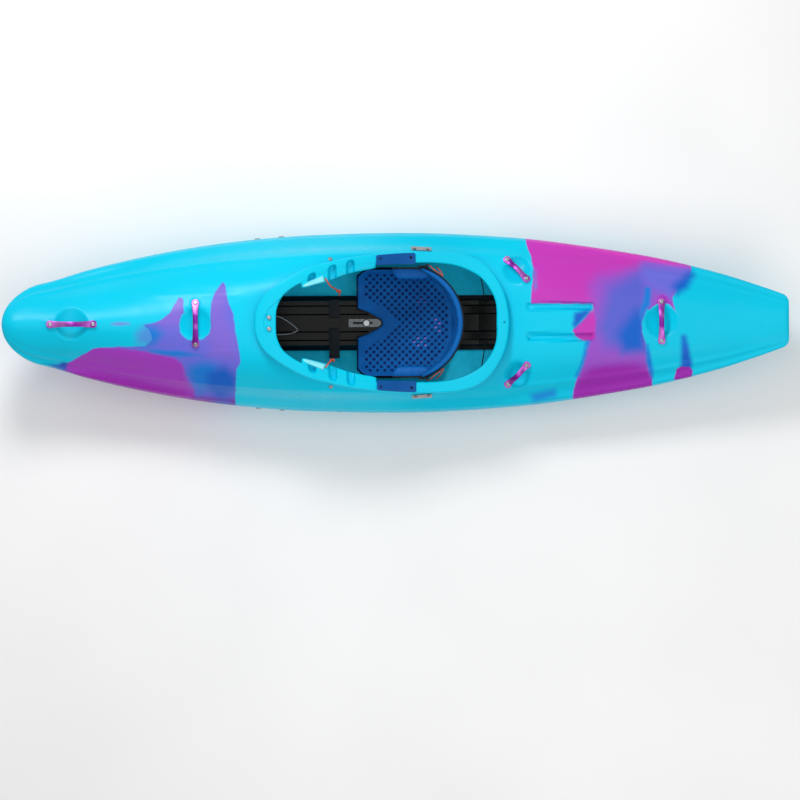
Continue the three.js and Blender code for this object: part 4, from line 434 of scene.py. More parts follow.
# Outlines of the colours on the deck, read off two zoomed crops of the photo, in each crop's own
# pixels: which crop, colour, softness of the edge in mm, and whether it stays inside the last one that says
# False. A crop has a scale and the photo's pixel at its left edge, and both have their top in one row.
FORE = (5.917, 0)
AFT = (5.227, 500)
CROP_TOP = 230
colour_patches = {
    "foredeck_haze": (FORE, PALE_BLUE, 22, False, [
        (810, 600), (850, 562), (960, 562), (980, 650), (880, 680), (810, 660),
    ]),
    "foredeck_violet": (FORE, VIOLET, 3, False, [
        (850, 551), (905, 545), (965, 520), (1010, 482), (1040, 430), (1062, 392), (1085, 398), (1090, 470),
        (1150, 560), (1245, 560), (1250, 430), (1268, 378), (1296, 333), (1322, 305), (1340, 325),
        (1345, 400), (1385, 500), (1395, 600), (1415, 700), (1425, 770), (1395, 830), (1388, 1080),
        (700, 1080), (380, 830), (380, 790), (480, 735), (560, 690), (700, 680), (860, 680), (905, 640),
        (890, 590),
    ]),
    "front_lilac": (FORE, LILAC, 22, True, [
        (905, 545), (1062, 380), (1100, 400), (1100, 560), (905, 562),
    ]),
    "rear_lilac": (FORE, LILAC, 28, True, [
        (1230, 640), (1240, 340), (1330, 290), (1350, 400), (1330, 500), (1390, 620), (1400, 760),
        (1250, 740),
    ]),
    "sky_before_bowl": (FORE, SKY, 24, True, [
        (840, 556), (925, 562), (965, 610), (920, 670), (840, 690),
    ]),
    "sky_streak": (FORE, SKY, 10, True, [
        (880, 700), (1060, 706), (1200, 740), (1060, 744), (880, 728),
    ]),
    "bow_orchid": (FORE, ORCHID, 7, True, [
        (360, 800), (440, 755), (500, 725), (560, 680), (700, 690), (880, 715), (1040, 750), (1080, 790),
        (1100, 850), (1130, 900), (1150, 940), (1130, 1080), (700, 1080), (370, 840),
    ]),
    "sky_cloud": (FORE, SKY, 28, True, [
        (1120, 800), (1200, 770), (1290, 790), (1300, 900), (1180, 960), (1130, 900), (1110, 850),
    ]),
    "blue_cloud": (FORE, BLUE, 24, True, [
        (1230, 840), (1330, 800), (1400, 860), (1400, 960), (1290, 985), (1220, 930),
    ]),
    "bow_edge": (FORE, MAGENTA_DEEP, 16, True, [
        (360, 820), (480, 830), (640, 850), (820, 890), (1100, 960), (1130, 1080), (700, 1080), (360, 850),
    ]),
    "purple_edge": (FORE, PURPLE, 14, True, [
        (1130, 980), (1290, 990), (1400, 1000), (1400, 1080), (1130, 1080),
    ]),
    "foredeck_bowl": (FORE, CYAN, 3, False, [
        (1063, 557), (1075, 500), (1110, 465), (1155, 452), (1205, 465), (1240, 505), (1252, 557),
        (1240, 610), (1205, 640), (1155, 652), (1105, 640), (1072, 605),
    ]),
    "lilac_fleck": (FORE, LILAC, 8, False, [
        (660, 546), (710, 536), (760, 540), (770, 550), (700, 553),
    ]),
    "bow_blue": (FORE, DEEP_BLUE, 7, False, [
        (255, 775), (330, 800), (385, 820), (395, 780), (378, 770), (340, 790),
    ]),
    "stern_plum": (AFT, PLUM, 3, False, [
        (135, 40), (150, 90), (165, 130), (180, 200), (165, 388), (490, 390), (492, 440), (385, 525),
        (400, 560), (470, 580), (450, 640), (440, 700), (405, 780), (385, 850), (385, 930), (800, 840),
        (798, 760), (775, 690), (765, 600), (745, 540), (745, 480), (770, 420), (800, 425), (850, 395),
        (925, 440), (905, 360), (930, 320), (990, 260), (1005, 215), (1000, 170), (760, 110), (480, 60),
    ]),
    "stern_magenta": (AFT, MAGENTA, 34, True, [
        (100, 20), (480, 40), (750, 100), (760, 200), (520, 240), (470, 290), (480, 400), (100, 400),
    ]),
    "stern_rose": (AFT, ROSE, 6, True, [
        (100, 20), (480, 40), (1010, 150), (1010, 215), (760, 165), (480, 110), (160, 60),
    ]),
    "stern_blue_violet": (AFT, BLUE_VIOLET, 40, True, [
        (570, 300), (700, 230), (770, 200), (790, 330), (740, 520), (740, 620), (560, 620), (510, 520),
    ]),
    "stern_violet": (AFT, VIOLET, 24, True, [
        (745, 190), (990, 205), (1010, 250), (930, 320), (900, 360), (800, 320), (750, 270),
    ]),
    "stern_blue": (AFT, BLUE, 30, True, [
        (620, 540), (700, 430), (735, 410), (765, 480), (765, 640), (640, 650),
    ]),
    "port_edge": (AFT, MAGENTA_DEEP, 20, True, [
        (470, 730), (560, 712), (700, 705), (760, 720), (820, 770), (810, 860), (385, 930), (375, 850),
        (405, 790),
    ]),
    "sky_before_stern_bowl": (AFT, SKY, 9, False, [
        (765, 300), (795, 310), (790, 400), (760, 440), (742, 500), (735, 430), (755, 360),
    ]),
    "blue_by_stern_edge": (AFT, BLUE, 20, False, [
        (905, 300), (960, 250), (1000, 215), (1025, 240), (985, 310), (930, 345),
    ]),
    "bowl_orchid": (AFT, ORCHID, 3, False, [
        (802, 425), (820, 380), (840, 345), (868, 345), (895, 380), (930, 445), (860, 400), (830, 402),
    ]),
    "channel_magenta": (AFT, MAGENTA, 4, False, [
        (385, 528), (430, 480), (490, 415), (505, 480), (500, 575), (440, 582), (395, 560),
    ]),
    "sky_beside_channel": (AFT, SKY, 8, False, [
        (450, 585), (475, 585), (448, 690), (412, 770), (392, 775), (430, 680),
    ]),
    "channel_blue": (AFT, BLUE, 11, False, [
        (395, 440), (420, 428), (478, 420), (470, 440), (395, 520), (385, 500),
    ]),
    "sky_beside_stern_bowl": (AFT, SKY, 8, False, [
        (765, 600), (778, 600), (805, 740), (800, 790), (785, 760), (765, 690),
    ]),
    "stern_bowl": (AFT, CYAN, 3, False, [
        (772, 470), (785, 425), (820, 395), (853, 388), (890, 398), (925, 430), (935, 470), (925, 515),
        (895, 543), (853, 552), (812, 545), (782, 515),
    ]),
    "rear_blue": (AFT, BLUE, 12, False, [
        (955, 560), (978, 560), (1005, 700), (1005, 740), (945, 745),
    ]),
    "rear_magenta": (AFT, MAGENTA_DEEP, 3, False, [
        (915, 790), (925, 735), (955, 722), (995, 725), (1012, 745), (1005, 790),
    ]),
    "port_sky": (AFT, SKY, 20, False, [
        (165, 865), (290, 840), (290, 870), (180, 900),
    ]),
    "starboard_sky": (AFT, SKY, 8, False, [
        (178, 210), (190, 210), (196, 300), (182, 330),
    ]),
}
# Clouds below the parting line, on the port side but for the first: colour, shape, middle and half sizes in
# metres, the turn about the frame's Y in degrees, and softness
side_clouds = [
    (CYAN_DEEP, "slab", (0.95, 0.0, 0.095), (0.5, 1.0, 0.075), -3.8, 0.15),
    (PURPLE, "slab", (-0.914, -0.2, 0.075), (0.27, 0.26, 0.135), 11.6, 0.15),
    (BLUE, "oval", (-0.61, -0.25, 0.1), (0.06, 0.2, 0.12), 0, 0.6),
    (BLUE_VIOLET, "oval", (-1.19, -0.1, 0.25), (0.05, 0.2, 0.05), 0, 0.7),
]
CLOUD_DRIFT_MM = 16
CLOUD_DRIFT_SIZE_MM = 120
CLOUD_EDGE_DRIFT_MM = 5
CLOUD_EDGE_SIZE_MM = 26


def drifted(tree, place, size_mm, reach_mm):
    """Coordinates moved about by noise, so that what uses them gets wandering edges."""
    field = noise(tree, place, size_mm, detail=2.0).outputs["Color"]
    centred = math_node(tree, "SUBTRACT", field, (0.5, 0.5, 0.5), kind="ShaderNodeVectorMath")
    inputs = {0: centred, "Scale": 2 * reach_mm * MM}
    scaled = add(tree, "ShaderNodeVectorMath", inputs, operation="SCALE").outputs[0]
    return math_node(tree, "ADD", place, scaled, kind="ShaderNodeVectorMath")


def cloud_mask(tree, place, shape, centre, half, turn, softness):
    """1 inside a cloud and 0 outside it."""
    inputs = {"Vector": place, "Location": centre, "Rotation": turn, "Scale": half}
    local = add(tree, "ShaderNodeMapping", inputs, vector_type="TEXTURE").outputs[0]
    if shape == "oval":
        reach = add(tree, "ShaderNodeVectorMath", {0: local}, operation="LENGTH").outputs["Value"]
    else:
        sizes = math_node(tree, "ABSOLUTE", local, kind="ShaderNodeVectorMath")
        axes = add(tree, "ShaderNodeSeparateXYZ", {0: sizes}).outputs
        reach = math_node(tree, "MAXIMUM", math_node(tree, "MAXIMUM", axes[0], axes[1]), axes[2])
    return ramp(tree, reach, 1 - softness, 1 + softness / 2, 1.0, 0.0, "SMOOTHSTEP")


PATCH_REACH_MM = 60.0
EDGE_WANDER_MM = 4.0
# The photo's pixel over the frame's origin, and the size of one, with the photo's rows running to port
PHOTO_CENTRE = (396.0, 322.5)
PIXEL_MM = 3.5025


def patch_name(number):
    """The name under which the hull's vertices carry a patch's depth."""
    return f"patch_{number}"


def patch_corners(crop, outline):
    """A patch's outline in plan in millimetres; the readings are good to half a pixel of the photo."""
    scale, left = crop
    pixels = np.round(2 * (np.array(outline) / scale + (left, CROP_TOP))) / 2
    return (pixels - PHOTO_CENTRE) * (PIXEL_MM, -PIXEL_MM)


def depth_in_patch(points, outline):
    """How far each point lies inside a closed outline; below 0 outside it."""
    nearest = np.full(len(points), np.inf)
    inside = np.zeros(len(points), bool)
    for start, end in zip(outline, np.roll(outline, -1, axis=0)):
        edge = end - start
        share = np.clip(((points - start) @ edge) / (edge @ edge), 0, 1)
        nearest = np.minimum(nearest, np.linalg.norm(points - start - share[:, None] * edge, axis=1))
        crossed = (start[1] > points[:, 1]) != (end[1] > points[:, 1])
        rise = edge[1] if edge[1] else 1.0
        inside ^= crossed & (points[:, 0] < start[0] + edge[0] * (points[:, 1] - start[1]) / rise)
    return np.where(inside, nearest, -nearest)


def paint_patches(piece):
    """Stores each patch's depth at every vertex in plan, shifted so that 0 is far outside."""
    points = vertex_places(piece.data)[:, :2]
    for number, (crop, _, _, _, outline) in enumerate(colour_patches.values()):
        corners = patch_corners(crop, outline)
        low, high = corners.min(axis=0) - PATCH_REACH_MM, corners.max(axis=0) + PATCH_REACH_MM
        near = ((points > low) & (points < high)).all(axis=1)
        depth = np.zeros(len(points))
        reach = depth_in_patch(points[near], corners) + PATCH_REACH_MM
        depth[near] = np.clip(reach, 0, 2 * PATCH_REACH_MM)
        store_values(piece.data, patch_name(number), depth)


HULL_ROUGHNESS = 0.3
HULL_SPECULAR = 0.14
TONE_MM = 480.0
TONE_SHARE = 0.6
SKIN_PEEL_MM = 9.0
SKIN_PEEL_DEPTH_MM = 0.015
SKIN_WAVE_MM = 70.0
SKIN_WAVE_DEPTH_MM = 0.6


def hull_material():
    """The blended colours, over the soft unevenness that the mould gives the plastic's skin."""
    material, tree, place = new_material("polyethylene_rotomoulded_blend")
    wandering = drifted(tree, place, CLOUD_DRIFT_SIZE_MM, CLOUD_DRIFT_MM)
    wandering = drifted(tree, wandering, CLOUD_EDGE_SIZE_MM, CLOUD_EDGE_DRIFT_MM)
    tone = noise(tree, place, TONE_MM, detail=1.0).outputs["Fac"]
    colour = mix(tree, ramp(tree, tone, *CLOUD_RANGE, 0.0, TONE_SHARE), srgb(CYAN), srgb(CYAN_DEEP))
    wander = noise(tree, place, CLOUD_EDGE_SIZE_MM, detail=2.0).outputs["Fac"]
    body = None
    for number, (_, hex_colour, softness, inside_body, _) in enumerate(colour_patches.values()):
        depth = add(tree, "ShaderNodeAttribute", {}, attribute_name=patch_name(number)).outputs["Fac"]
        shifted = math_node(tree, "MULTIPLY_ADD", wander, 2 * EDGE_WANDER_MM, depth)
        low = PATCH_REACH_MM + EDGE_WANDER_MM - softness
        mask = ramp(tree, shifted, low, low + 2 * softness, 0.0, 1.0, "SMOOTHSTEP")
        if inside_body:
            mask = math_node(tree, "MULTIPLY", mask, body)
        else:
            body = mask
        colour = mix(tree, mask, colour, srgb(hex_colour))
    for hex_colour, shape, centre, half, turn, softness in side_clouds:
        mask = cloud_mask(tree, wandering, shape, centre, half, (0, math.radians(turn), 0), softness)
        colour = mix(tree, mask, colour, srgb(hex_colour))
    peel = noise(tree, place, SKIN_PEEL_MM).outputs["Fac"]
    wave = noise(tree, place, SKIN_WAVE_MM, detail=1.0).outputs["Fac"]
    normal = bump(tree, peel, SKIN_PEEL_DEPTH_MM, normal=bump(tree, wave, SKIN_WAVE_DEPTH_MM))
    gloss = ramp(tree, wave, *NOISE_RANGE, 0.9 * HULL_ROUGHNESS, 1.15 * HULL_ROUGHNESS)
    close_material(tree, Base_Color=colour, Roughness=gloss, Normal=normal, Specular_IOR_Level=HULL_SPECULAR)
    return material


hull_plastic = hull_material()


# Grab handles: bent flat aluminium, brushed along its length and anodised from pink to purple
ANODISE_PINK = "#C26CC8"
ANODISE_PURPLE = "#86289C"
ANODISE_CLOUD_MM = 45.0
BRUSH_GRAIN_MM = 0.7


def handle_material():
    """Brushed metal whose tone drifts slowly between the two anodised colours."""
    material, tree, place = new_material("aluminium_brushed_anodised_pink")
    cloud = noise(tree, place, ANODISE_CLOUD_MM, detail=1.0).outputs["Fac"]
    colour = mix(tree, ramp(tree, cloud, 0.4, 0.6, 0.0, 1.0), srgb(ANODISE_PINK), srgb(ANODISE_PURPLE))
    grain = noise(tree, place, BRUSH_GRAIN_MM).outputs["Fac"]
    gloss = ramp(tree, grain, *NOISE_RANGE, 0.34, 0.46)
    close_material(tree, Base_Color=colour, Metallic=1.0, Roughness=gloss, Normal=bump(tree, grain, 0.02))
    return material


handle_metal = handle_material()

# Moulded EVA foam of the seat and backrest: painted shade darkens the bottoms of the moulded dimples, and
# lilac marks where a plug of other foam fills them
FOAM_TOP = "#005CA8"
FOAM_TOP_WORN = "#0064B2"
FOAM_DIMPLE_SHADE = "#02205C"
FOAM_PLUG = "#A884E6"
FOAM_SPECULAR = 0.2
FOAM_CLOUD_MM = 60.0
FOAM_CELL_MM = 1.1


def dimpled_foam():
    """Foam whose own attributes dimple and plug are 1 at the bottom of a dimple and on a plug; a dimple's
    bottom takes a painted shade.
    """
    material, tree, place = new_material("foam_moulded_blue")
    cloud = noise(tree, place, FOAM_CLOUD_MM, detail=2.0).outputs["Fac"]
    colour = mix(tree, ramp(tree, cloud, *CLOUD_RANGE, 0.0, 1.0), srgb(FOAM_TOP), srgb(FOAM_TOP_WORN))
    # Painted shade in the dimples' bottoms, then the plugs' own lilac
    for name, deep in (("dimple", FOAM_DIMPLE_SHADE), ("plug", FOAM_PLUG)):
        share = add(tree, "ShaderNodeAttribute", {}, attribute_name=name).outputs["Fac"]
        colour = mix(tree, share, colour, srgb(deep))
    cells = noise(tree, place, FOAM_CELL_MM).outputs["Fac"]
    gloss = ramp(tree, cells, *NOISE_RANGE, 0.62, 0.8)
    normal = bump(tree, cells, 0.1)
    close_material(tree, Base_Color=colour, Roughness=gloss, Specular_IOR_Level=FOAM_SPECULAR, Normal=normal)
    return material


seat_foam = dimpled_foam()

FIBRE_MM = 0.3
BRAID_DEPTH_MM = 0.25


def braid_material(name, colour, fleck, size_mm=1.2):
    """A braided sheath: two crossing sets of strands as small cells on the cord's own surface."""
    material, tree, place = new_material(name)
    inputs = {"Vector": place, "Scale": 1 / (size_mm * MM)}
    weave = add(tree, "ShaderNodeTexVoronoi", inputs).outputs["Distance"]
    colours = mix(tree, ramp(tree, weave, 0.15, 0.7, 0.0, 1.0), srgb(colour), srgb(fleck))
    gloss = ramp(tree, noise(tree, place, FIBRE_MM).outputs["Fac"], *NOISE_RANGE, 0.75, 0.95)
    close_material(tree, Base_Color=colours, Roughness=gloss, Normal=bump(tree, weave, BRAID_DEPTH_MM))
    return material


orange_braid = braid_material("cord_braided_polyester_orange", "#F4683A", "#B8401C")
black_braid = braid_material("cord_braided_elastic_black", "#1E1F21", "#0C0C0D")
grey_braid = braid_material("cord_braided_thin_grey", "#A9ADAF", "#6C7072", 0.8)

WEB_PITCH_MM = 1.6
WEB_DEPTH_MM = 0.3


def webbing_material():
    """Woven polypropylene webbing: fine ribs with slightly uneven threads."""
    material, tree, place = new_material("webbing_woven_black")
    inputs = {"Vector": place, "Scale": 1 / (2 * WEB_PITCH_MM * MM), "Distortion": 0.4, "Detail": 1.0}
    waves = add(tree, "ShaderNodeTexWave", inputs, wave_type="BANDS", bands_direction="DIAGONAL")
    ribs = waves.outputs["Fac"]
    colour = mix(tree, ribs, srgb("#101113"), srgb("#2A2C2F"))
    close_material(tree, Base_Color=colour, Roughness=0.82, Normal=bump(tree, ribs, WEB_DEPTH_MM))
    return material


webbing = webbing_material()


# The hull: the same table of shares and section rule as the part's source, at a finer step
HULL_LENGTH = 2760.0
HULL_HALF_BEAM = 315.0
HULL_HEIGHT = 434.0
BOW_X = -HULL_LENGTH / 2
STERN_X = HULL_LENGTH / 2
BOW_ROUND_LENGTH = 138.0
NOSE_ROUND_LENGTH = 50.0
NOSE_HEIGHT = 388.0
LEAST_ROUND = 0.06
STERN_CORNER = 22.0
STERN_EDGE = 10.0
WALL = 6.0
INNER_BOW_X = -1330.0
INNER_STERN_X = 1200.0
BOTTOM_ANGLE_SHARES = (0.3, 0.62)
BOTTOM_SQUARENESS = 2.0
BEAM_SQUARENESS = 0.8
CREST_WIDTH_SHARE = 0.965
BAND_WIDTH_SHARE = 0.87
BAND_HEIGHT_SHARE = 0.4
EDGE_WIDTH_SHARE = 0.76
SHOULDER_WIDTH_SHARE = 0.456
# Each row: place along the hull, then beam as a share of the half beam, and keel, parting line, crest, deck
# edge and deck centre as shares of the height, and how much of the deck's rise the shoulder is short of
hull_stations = [
    (0, 0.383, 0.806, 0.848, 0.887, 0.912, 0.947, 0.4),
    (0.0228, 0.406, 0.704, 0.749, 0.802, 0.848, 0.946, 0.4),
    (0.061, 0.474, 0.525, 0.611, 0.691, 0.76, 0.932, 0.4),
    (0.1117, 0.607, 0.34, 0.535, 0.604, 0.668, 0.914, 0.4),
    (0.184, 0.754, 0.177, 0.447, 0.523, 0.636, 0.893, 0.38),
    (0.2576, 0.867, 0.081, 0.357, 0.463, 0.659, 0.894, 0.32),
    (0.321, 0.933, 0.023, 0.327, 0.431, 0.687, 0.912, 0.2),
    (0.378, 0.972, -0.004, 0.316, 0.422, 0.733, 0.886, 0.12),
    (0.411, 0.984, -0.006, 0.311, 0.419, 0.742, 0.834, 0.12),
    (0.463, 0.997, -0.006, 0.306, 0.415, 0.691, 0.742, 0.12),
    (0.51, 1, -0.004, 0.304, 0.41, 0.608, 0.627, 0.15),
    (0.562, 0.989, 0.016, 0.306, 0.406, 0.539, 0.578, 0.2),
    (0.632, 0.952, 0.088, 0.318, 0.396, 0.515, 0.574, 0.25),
    (0.683, 0.911, 0.138, 0.336, 0.401, 0.495, 0.627, 0.22),
    (0.759, 0.817, 0.226, 0.371, 0.422, 0.5, 0.624, 0.2),
    (0.835, 0.7, 0.327, 0.408, 0.449, 0.509, 0.611, 0.22),
    (0.911, 0.533, 0.438, 0.479, 0.507, 0.544, 0.627, 0.3),
    (0.962, 0.389, 0.525, 0.553, 0.571, 0.594, 0.647, 0.3),
    (1, 0.272, 0.594, 0.608, 0.618, 0.629, 0.652, 0.3),
]


def round_share(distance, length):
    """How much of its full size a rounded end has at a distance from its tip."""
    return math.sqrt(1 - max(1 - distance / length, 0) ** 2)


def hull_sizes(x):
    """Beam, heights and bottom squareness of the hull at one x, in millimetres."""
    along = (x - BOW_X) / HULL_LENGTH
    shares = [value_at(hull_stations, column, along) for column in range(1, 8)]
    bow = max(round_share(x - BOW_X, BOW_ROUND_LENGTH), LEAST_ROUND)
    nose = max(round_share(x - BOW_X, NOSE_ROUND_LENGTH), LEAST_ROUND)
    corner = STERN_CORNER * (1 - round_share(STERN_X - x, STERN_CORNER))
    edge_round = STERN_EDGE * (1 - round_share(STERN_X - x, STERN_EDGE))
    heights = [NOSE_HEIGHT + (share * HULL_HEIGHT - NOSE_HEIGHT) * nose for share in shares[1:6]]
    keel, deck = heights[0], heights[4]
    middle = (keel + deck) / 2
    squash = 1 - 2 * edge_round / (deck - keel)
    heights = [middle + (z - middle) * squash for z in heights]
    beam = shares[0] * HULL_HALF_BEAM * bow - corner
    return beam, heights, shares[6], BOTTOM_SQUARENESS + BEAM_SQUARENESS * shares[0]


# Steps of each of the 16 spans round a section: few on the smooth bottom, many on the sides and the deck
SPAN_STEPS = (4, 4, 5, 9, 9, 9, 12, 16, 16, 12, 9, 9, 9, 5, 4, 4)


def span_curve(points, steps):
    """A closed centripetal curve whose spans take their own numbers of steps."""
    most = max(steps)
    fine = curve_points(points, most, closed=True).reshape(len(points), most, 2)
    nodes_at = np.linspace(0, 1, most, endpoint=False)
    made = []
    for i, count in enumerate(steps):
        span = np.vstack([fine[i], fine[(i + 1) % len(points)][:1]])
        share = np.append(nodes_at, 1.0)
        at = np.linspace(0, 1, count, endpoint=False)
        made.append(np.stack([np.interp(at, share, span[:, k]) for k in (0, 1)], 1))
    return np.concatenate(made)


def section(x, inset=0.0, steps=SPAN_STEPS):
    """The (y, z) points round the hull at one x, set in by the wall where asked."""
    beam, (keel, parting, crest, edge, deck), shoulder, squareness = hull_sizes(x)
    half = [(0.0, keel)]
    for share in BOTTOM_ANGLE_SHARES:
        angle = share * math.pi / 2
        across = math.sin(angle) ** (2 / squareness)
        down = math.cos(angle) ** (2 / squareness)
        half.append((beam * across, parting - (parting - keel) * down))
    half += [
        (beam, parting),
        (beam * CREST_WIDTH_SHARE, crest),
        (beam * BAND_WIDTH_SHARE, crest + BAND_HEIGHT_SHARE * (edge - crest)),
        (beam * EDGE_WIDTH_SHARE, edge),
        (beam * SHOULDER_WIDTH_SHARE, deck - (deck - edge) * shoulder),
        (0.0, deck),
    ]
    other = [(-y, z) for y, z in half[-2:0:-1]]
    ring = span_curve(half + other, steps)
    if inset:
        along = np.roll(ring, -1, 0) - np.roll(ring, 1, 0)
        along /= np.linalg.norm(along, axis=1)[:, None]
        ring = ring + inset * np.stack([-along[:, 1], along[:, 0]], 1)
    return ring


# What the deck carries: bowls under the handles, flat lands under their bolts, channels and faint ridges
BOWL_LIP_ROUND = 1.6
BOWL_LIP_START, BOWL_LIP_END = 1.05, 1.6
BOWL_FULLNESS = 2.5
LAND_RADIUS = 16.0
LAND_STAND = 2.5
LAND_EDGE = 3.0
# An oval pressed into the stern: its place along the deck, half its length and half its width
STERN_MARK = (1290.0, 9.0, 26.0)
STERN_MARK_DEPTH = 1.4
STERN_MARK_INSIDE, STERN_MARK_OUTSIDE = 0.85, 1.15
# Channels and ridges along the deck; a run names where one begins, is full, begins to fade, and ends
CHANNEL_Y = 54.0
CHANNEL_HALF_WIDTH = 12.0
CHANNEL_XS = (459.0, 693.0)
CHANNEL_RUN = (451.0, 471.0, 685.0, 697.0)
CHANNEL_DEPTHS = (13.0, 17.0)
CHANNEL_SIDE = 3.5
EDGE_RIDGE = 2.6
EDGE_RIDGE_WIDTH = 9.0
SEAM_RIDGE = 0.9
SEAM_RIDGE_WIDTH = 3.5
FORE_RIDGE_Y = 101.0
FORE_RIDGE_HEIGHT = 1.6
FORE_RIDGE_WIDTH = 9.0
FORE_RIDGE_RUN = (-870.0, -820.0, -580.0, -520.0)
MIDDLE_RIDGE_RUN = (-960.0, -920.0, -790.0, -755.0)
# Each handle's middle in plan, its turn in degrees, half the distance of its bolts, and its bowl's radius
# and depth
handle_places = {
    "bow_handle": {"middle": (-1135.0, 0.0), "turn": 0.0, "half": 75.0, "bowl": (57.0, 22.0)},
    "foredeck_handle": {"middle": (-701.0, 0.0), "turn": 90.0, "half": 71.5, "bowl": (57.0, 22.0)},
    "stern_handle": {"middle": (933.0, 0.0), "turn": 90.0, "half": 67.5, "bowl": (57.0, 22.0)},
    "rear_handle_starboard": {"middle": (426.25, 183.75), "turn": -45.0, "half": 47.0, "bowl": (49.0, 20.0)},
    "rear_handle_port": {"middle": (426.25, -183.75), "turn": 45.0, "half": 47.0, "bowl": (49.0, 20.0)},
}


def along_bolts(place):
    """The two bolt places of a handle in plan."""
    turn = math.radians(place["turn"])
    direction = np.array((math.cos(turn), math.sin(turn)))
    return [np.array(place["middle"]) + sign * place["half"] * direction for sign in (-1, 1)]


def bowl_depth(distance, radius, depth):
    """How far a round bowl with a rolled lip lies under the deck at a distance from its middle."""
    raw = depth * (1 - (distance / radius) ** BOWL_FULLNESS)
    soft = (raw + np.sqrt(raw**2 + BOWL_LIP_ROUND**2)) / 2
    return soft * smooth_step(BOWL_LIP_END * radius, BOWL_LIP_START * radius, distance)


def along_run(run, x):
    """0 outside a run, 1 where it is full, and soft between them."""
    return smooth_step(run[0], run[1], x) * smooth_step(run[3], run[2], x)


def deck_relief(x, y):
    """The change of the deck's height from bowls, bolt lands, channels and faint ridges."""
    change = np.zeros_like(x)
    for place in handle_places.values():
        middle = place["middle"]
        radius, depth = place["bowl"]
        distance = np.hypot(x - middle[0], y - middle[1])
        change -= bowl_depth(distance, radius, depth)
    for place in handle_places.values():
        for bolt in along_bolts(place):
            distance = np.hypot(x - bolt[0], y - bolt[1])
            land = smooth_step(LAND_RADIUS + LAND_EDGE, LAND_RADIUS, distance)
            change = np.where(land > 0, change * (1 - land) + LAND_STAND * land, change)
    mark = np.hypot((x - STERN_MARK[0]) / STERN_MARK[1], y / STERN_MARK[2])
    change -= STERN_MARK_DEPTH * smooth_step(STERN_MARK_OUTSIDE, STERN_MARK_INSIDE, mark)
    for side in (1, -1):
        across = np.abs(y - side * CHANNEL_Y)
        width = smooth_step(CHANNEL_HALF_WIDTH + CHANNEL_SIDE, CHANNEL_HALF_WIDTH - CHANNEL_SIDE, across)
        change -= np.interp(x, CHANNEL_XS, CHANNEL_DEPTHS) * width * along_run(CHANNEL_RUN, x)
        ridge = np.exp(-(((y - side * FORE_RIDGE_Y) / FORE_RIDGE_WIDTH) ** 2))
        change += FORE_RIDGE_HEIGHT * ridge * along_run(FORE_RIDGE_RUN, x)
    ridge = np.exp(-((y / FORE_RIDGE_WIDTH) ** 2))
    change += FORE_RIDGE_HEIGHT * ridge * along_run(MIDDLE_RIDGE_RUN, x)
    return change


STATION_STEP = 9.0
FINE_STEP = 4.5
HULL_END = 60.0
HULL_END_STEPS = 12
INNER_STATIONS = 220
HULL_SHARP_DEGREES = 32
PARTING_STEPS, CREST_STEPS, EDGE_STEPS = 13, 22, 40
# Where the hull is narrower than this, its creases are lower in proportion
CREASE_BEAM = 150.0
creases = [
    (EDGE_STEPS, EDGE_RIDGE, EDGE_RIDGE_WIDTH),
    (CREST_STEPS, EDGE_RIDGE / 2, EDGE_RIDGE_WIDTH),
    (PARTING_STEPS, SEAM_RIDGE, SEAM_RIDGE_WIDTH),
]


def hull_xs():
    """Stations along the hull, close together at both ends and across the handles' bowls."""
    fine = HULL_END * (1 - np.cos(np.linspace(0, np.pi / 2, HULL_END_STEPS)))
    xs = [*(BOW_X + fine)]
    while xs[-1] < STERN_X - HULL_END - STATION_STEP:
        near = min(abs(xs[-1] - place["middle"][0]) - place["bowl"][0] for place in handle_places.values())
        xs.append(xs[-1] + (FINE_STEP if near < STATION_STEP else STATION_STEP))
    return xs + [*(STERN_X - fine[::-1])]


def outer_ring(x):
    """A ring of the finished outer skin: the section with its creases and the deck's relief, flat at z 0."""
    ring = section(x)
    count = len(ring)
    away = np.hypot(*(np.roll(ring, -1, 0) - ring).T)
    reach = np.concatenate([[0], np.cumsum(away)])[:count]
    along = np.roll(ring, -1, 0) - np.roll(ring, 1, 0)
    along /= np.maximum(np.linalg.norm(along, axis=1), 1e-9)[:, None]
    outward = np.stack([along[:, 1], -along[:, 0]], 1)
    size = min(hull_sizes(x)[0] / CREASE_BEAM, 1.0)
    push = np.zeros(count)
    for steps, height, width in creases:
        for j in (steps, count - steps):
            push += size * height * np.exp(-(((reach - reach[j]) / width) ** 2))
    ring = ring + outward * push[:, None]
    top = slice(EDGE_STEPS, count - EDGE_STEPS + 1)
    ring[top, 1] += deck_relief(np.full(count, x)[top], ring[top, 0])
    ring[:, 1] = np.maximum(ring[:, 1], 0.0)
    return np.column_stack([np.full(count, x), ring])


INNER_STEPS = (3, 3, 3, 5, 5, 5, 8, 8, 8, 8, 5, 5, 5, 3, 3, 3)
INNER_EDGE_SPANS = 6


def inner_ring(x):
    """A ring of the hull's inside, a wall's thickness in, under the deck's relief."""
    ring = section(x, WALL, INNER_STEPS)
    count = len(ring)
    edge = sum(INNER_STEPS[:INNER_EDGE_SPANS])
    top = slice(edge, count - edge + 1)
    ring[top, 1] += np.minimum(deck_relief(np.full(count, x)[top], ring[top, 0]), 0)
    return np.column_stack([np.full(count, x), ring])


hull = mesh_object("hull", *loft([outer_ring(x) for x in hull_xs()]))
hull.data.materials.append(hull_plastic)
inner_xs = np.linspace(INNER_BOW_X, INNER_STERN_X, INNER_STATIONS)
hull_inner = mesh_object("hull_inner", *loft([inner_ring(x) for x in inner_xs]), body=None)
hull_inner.data.materials.append(hull_inside)


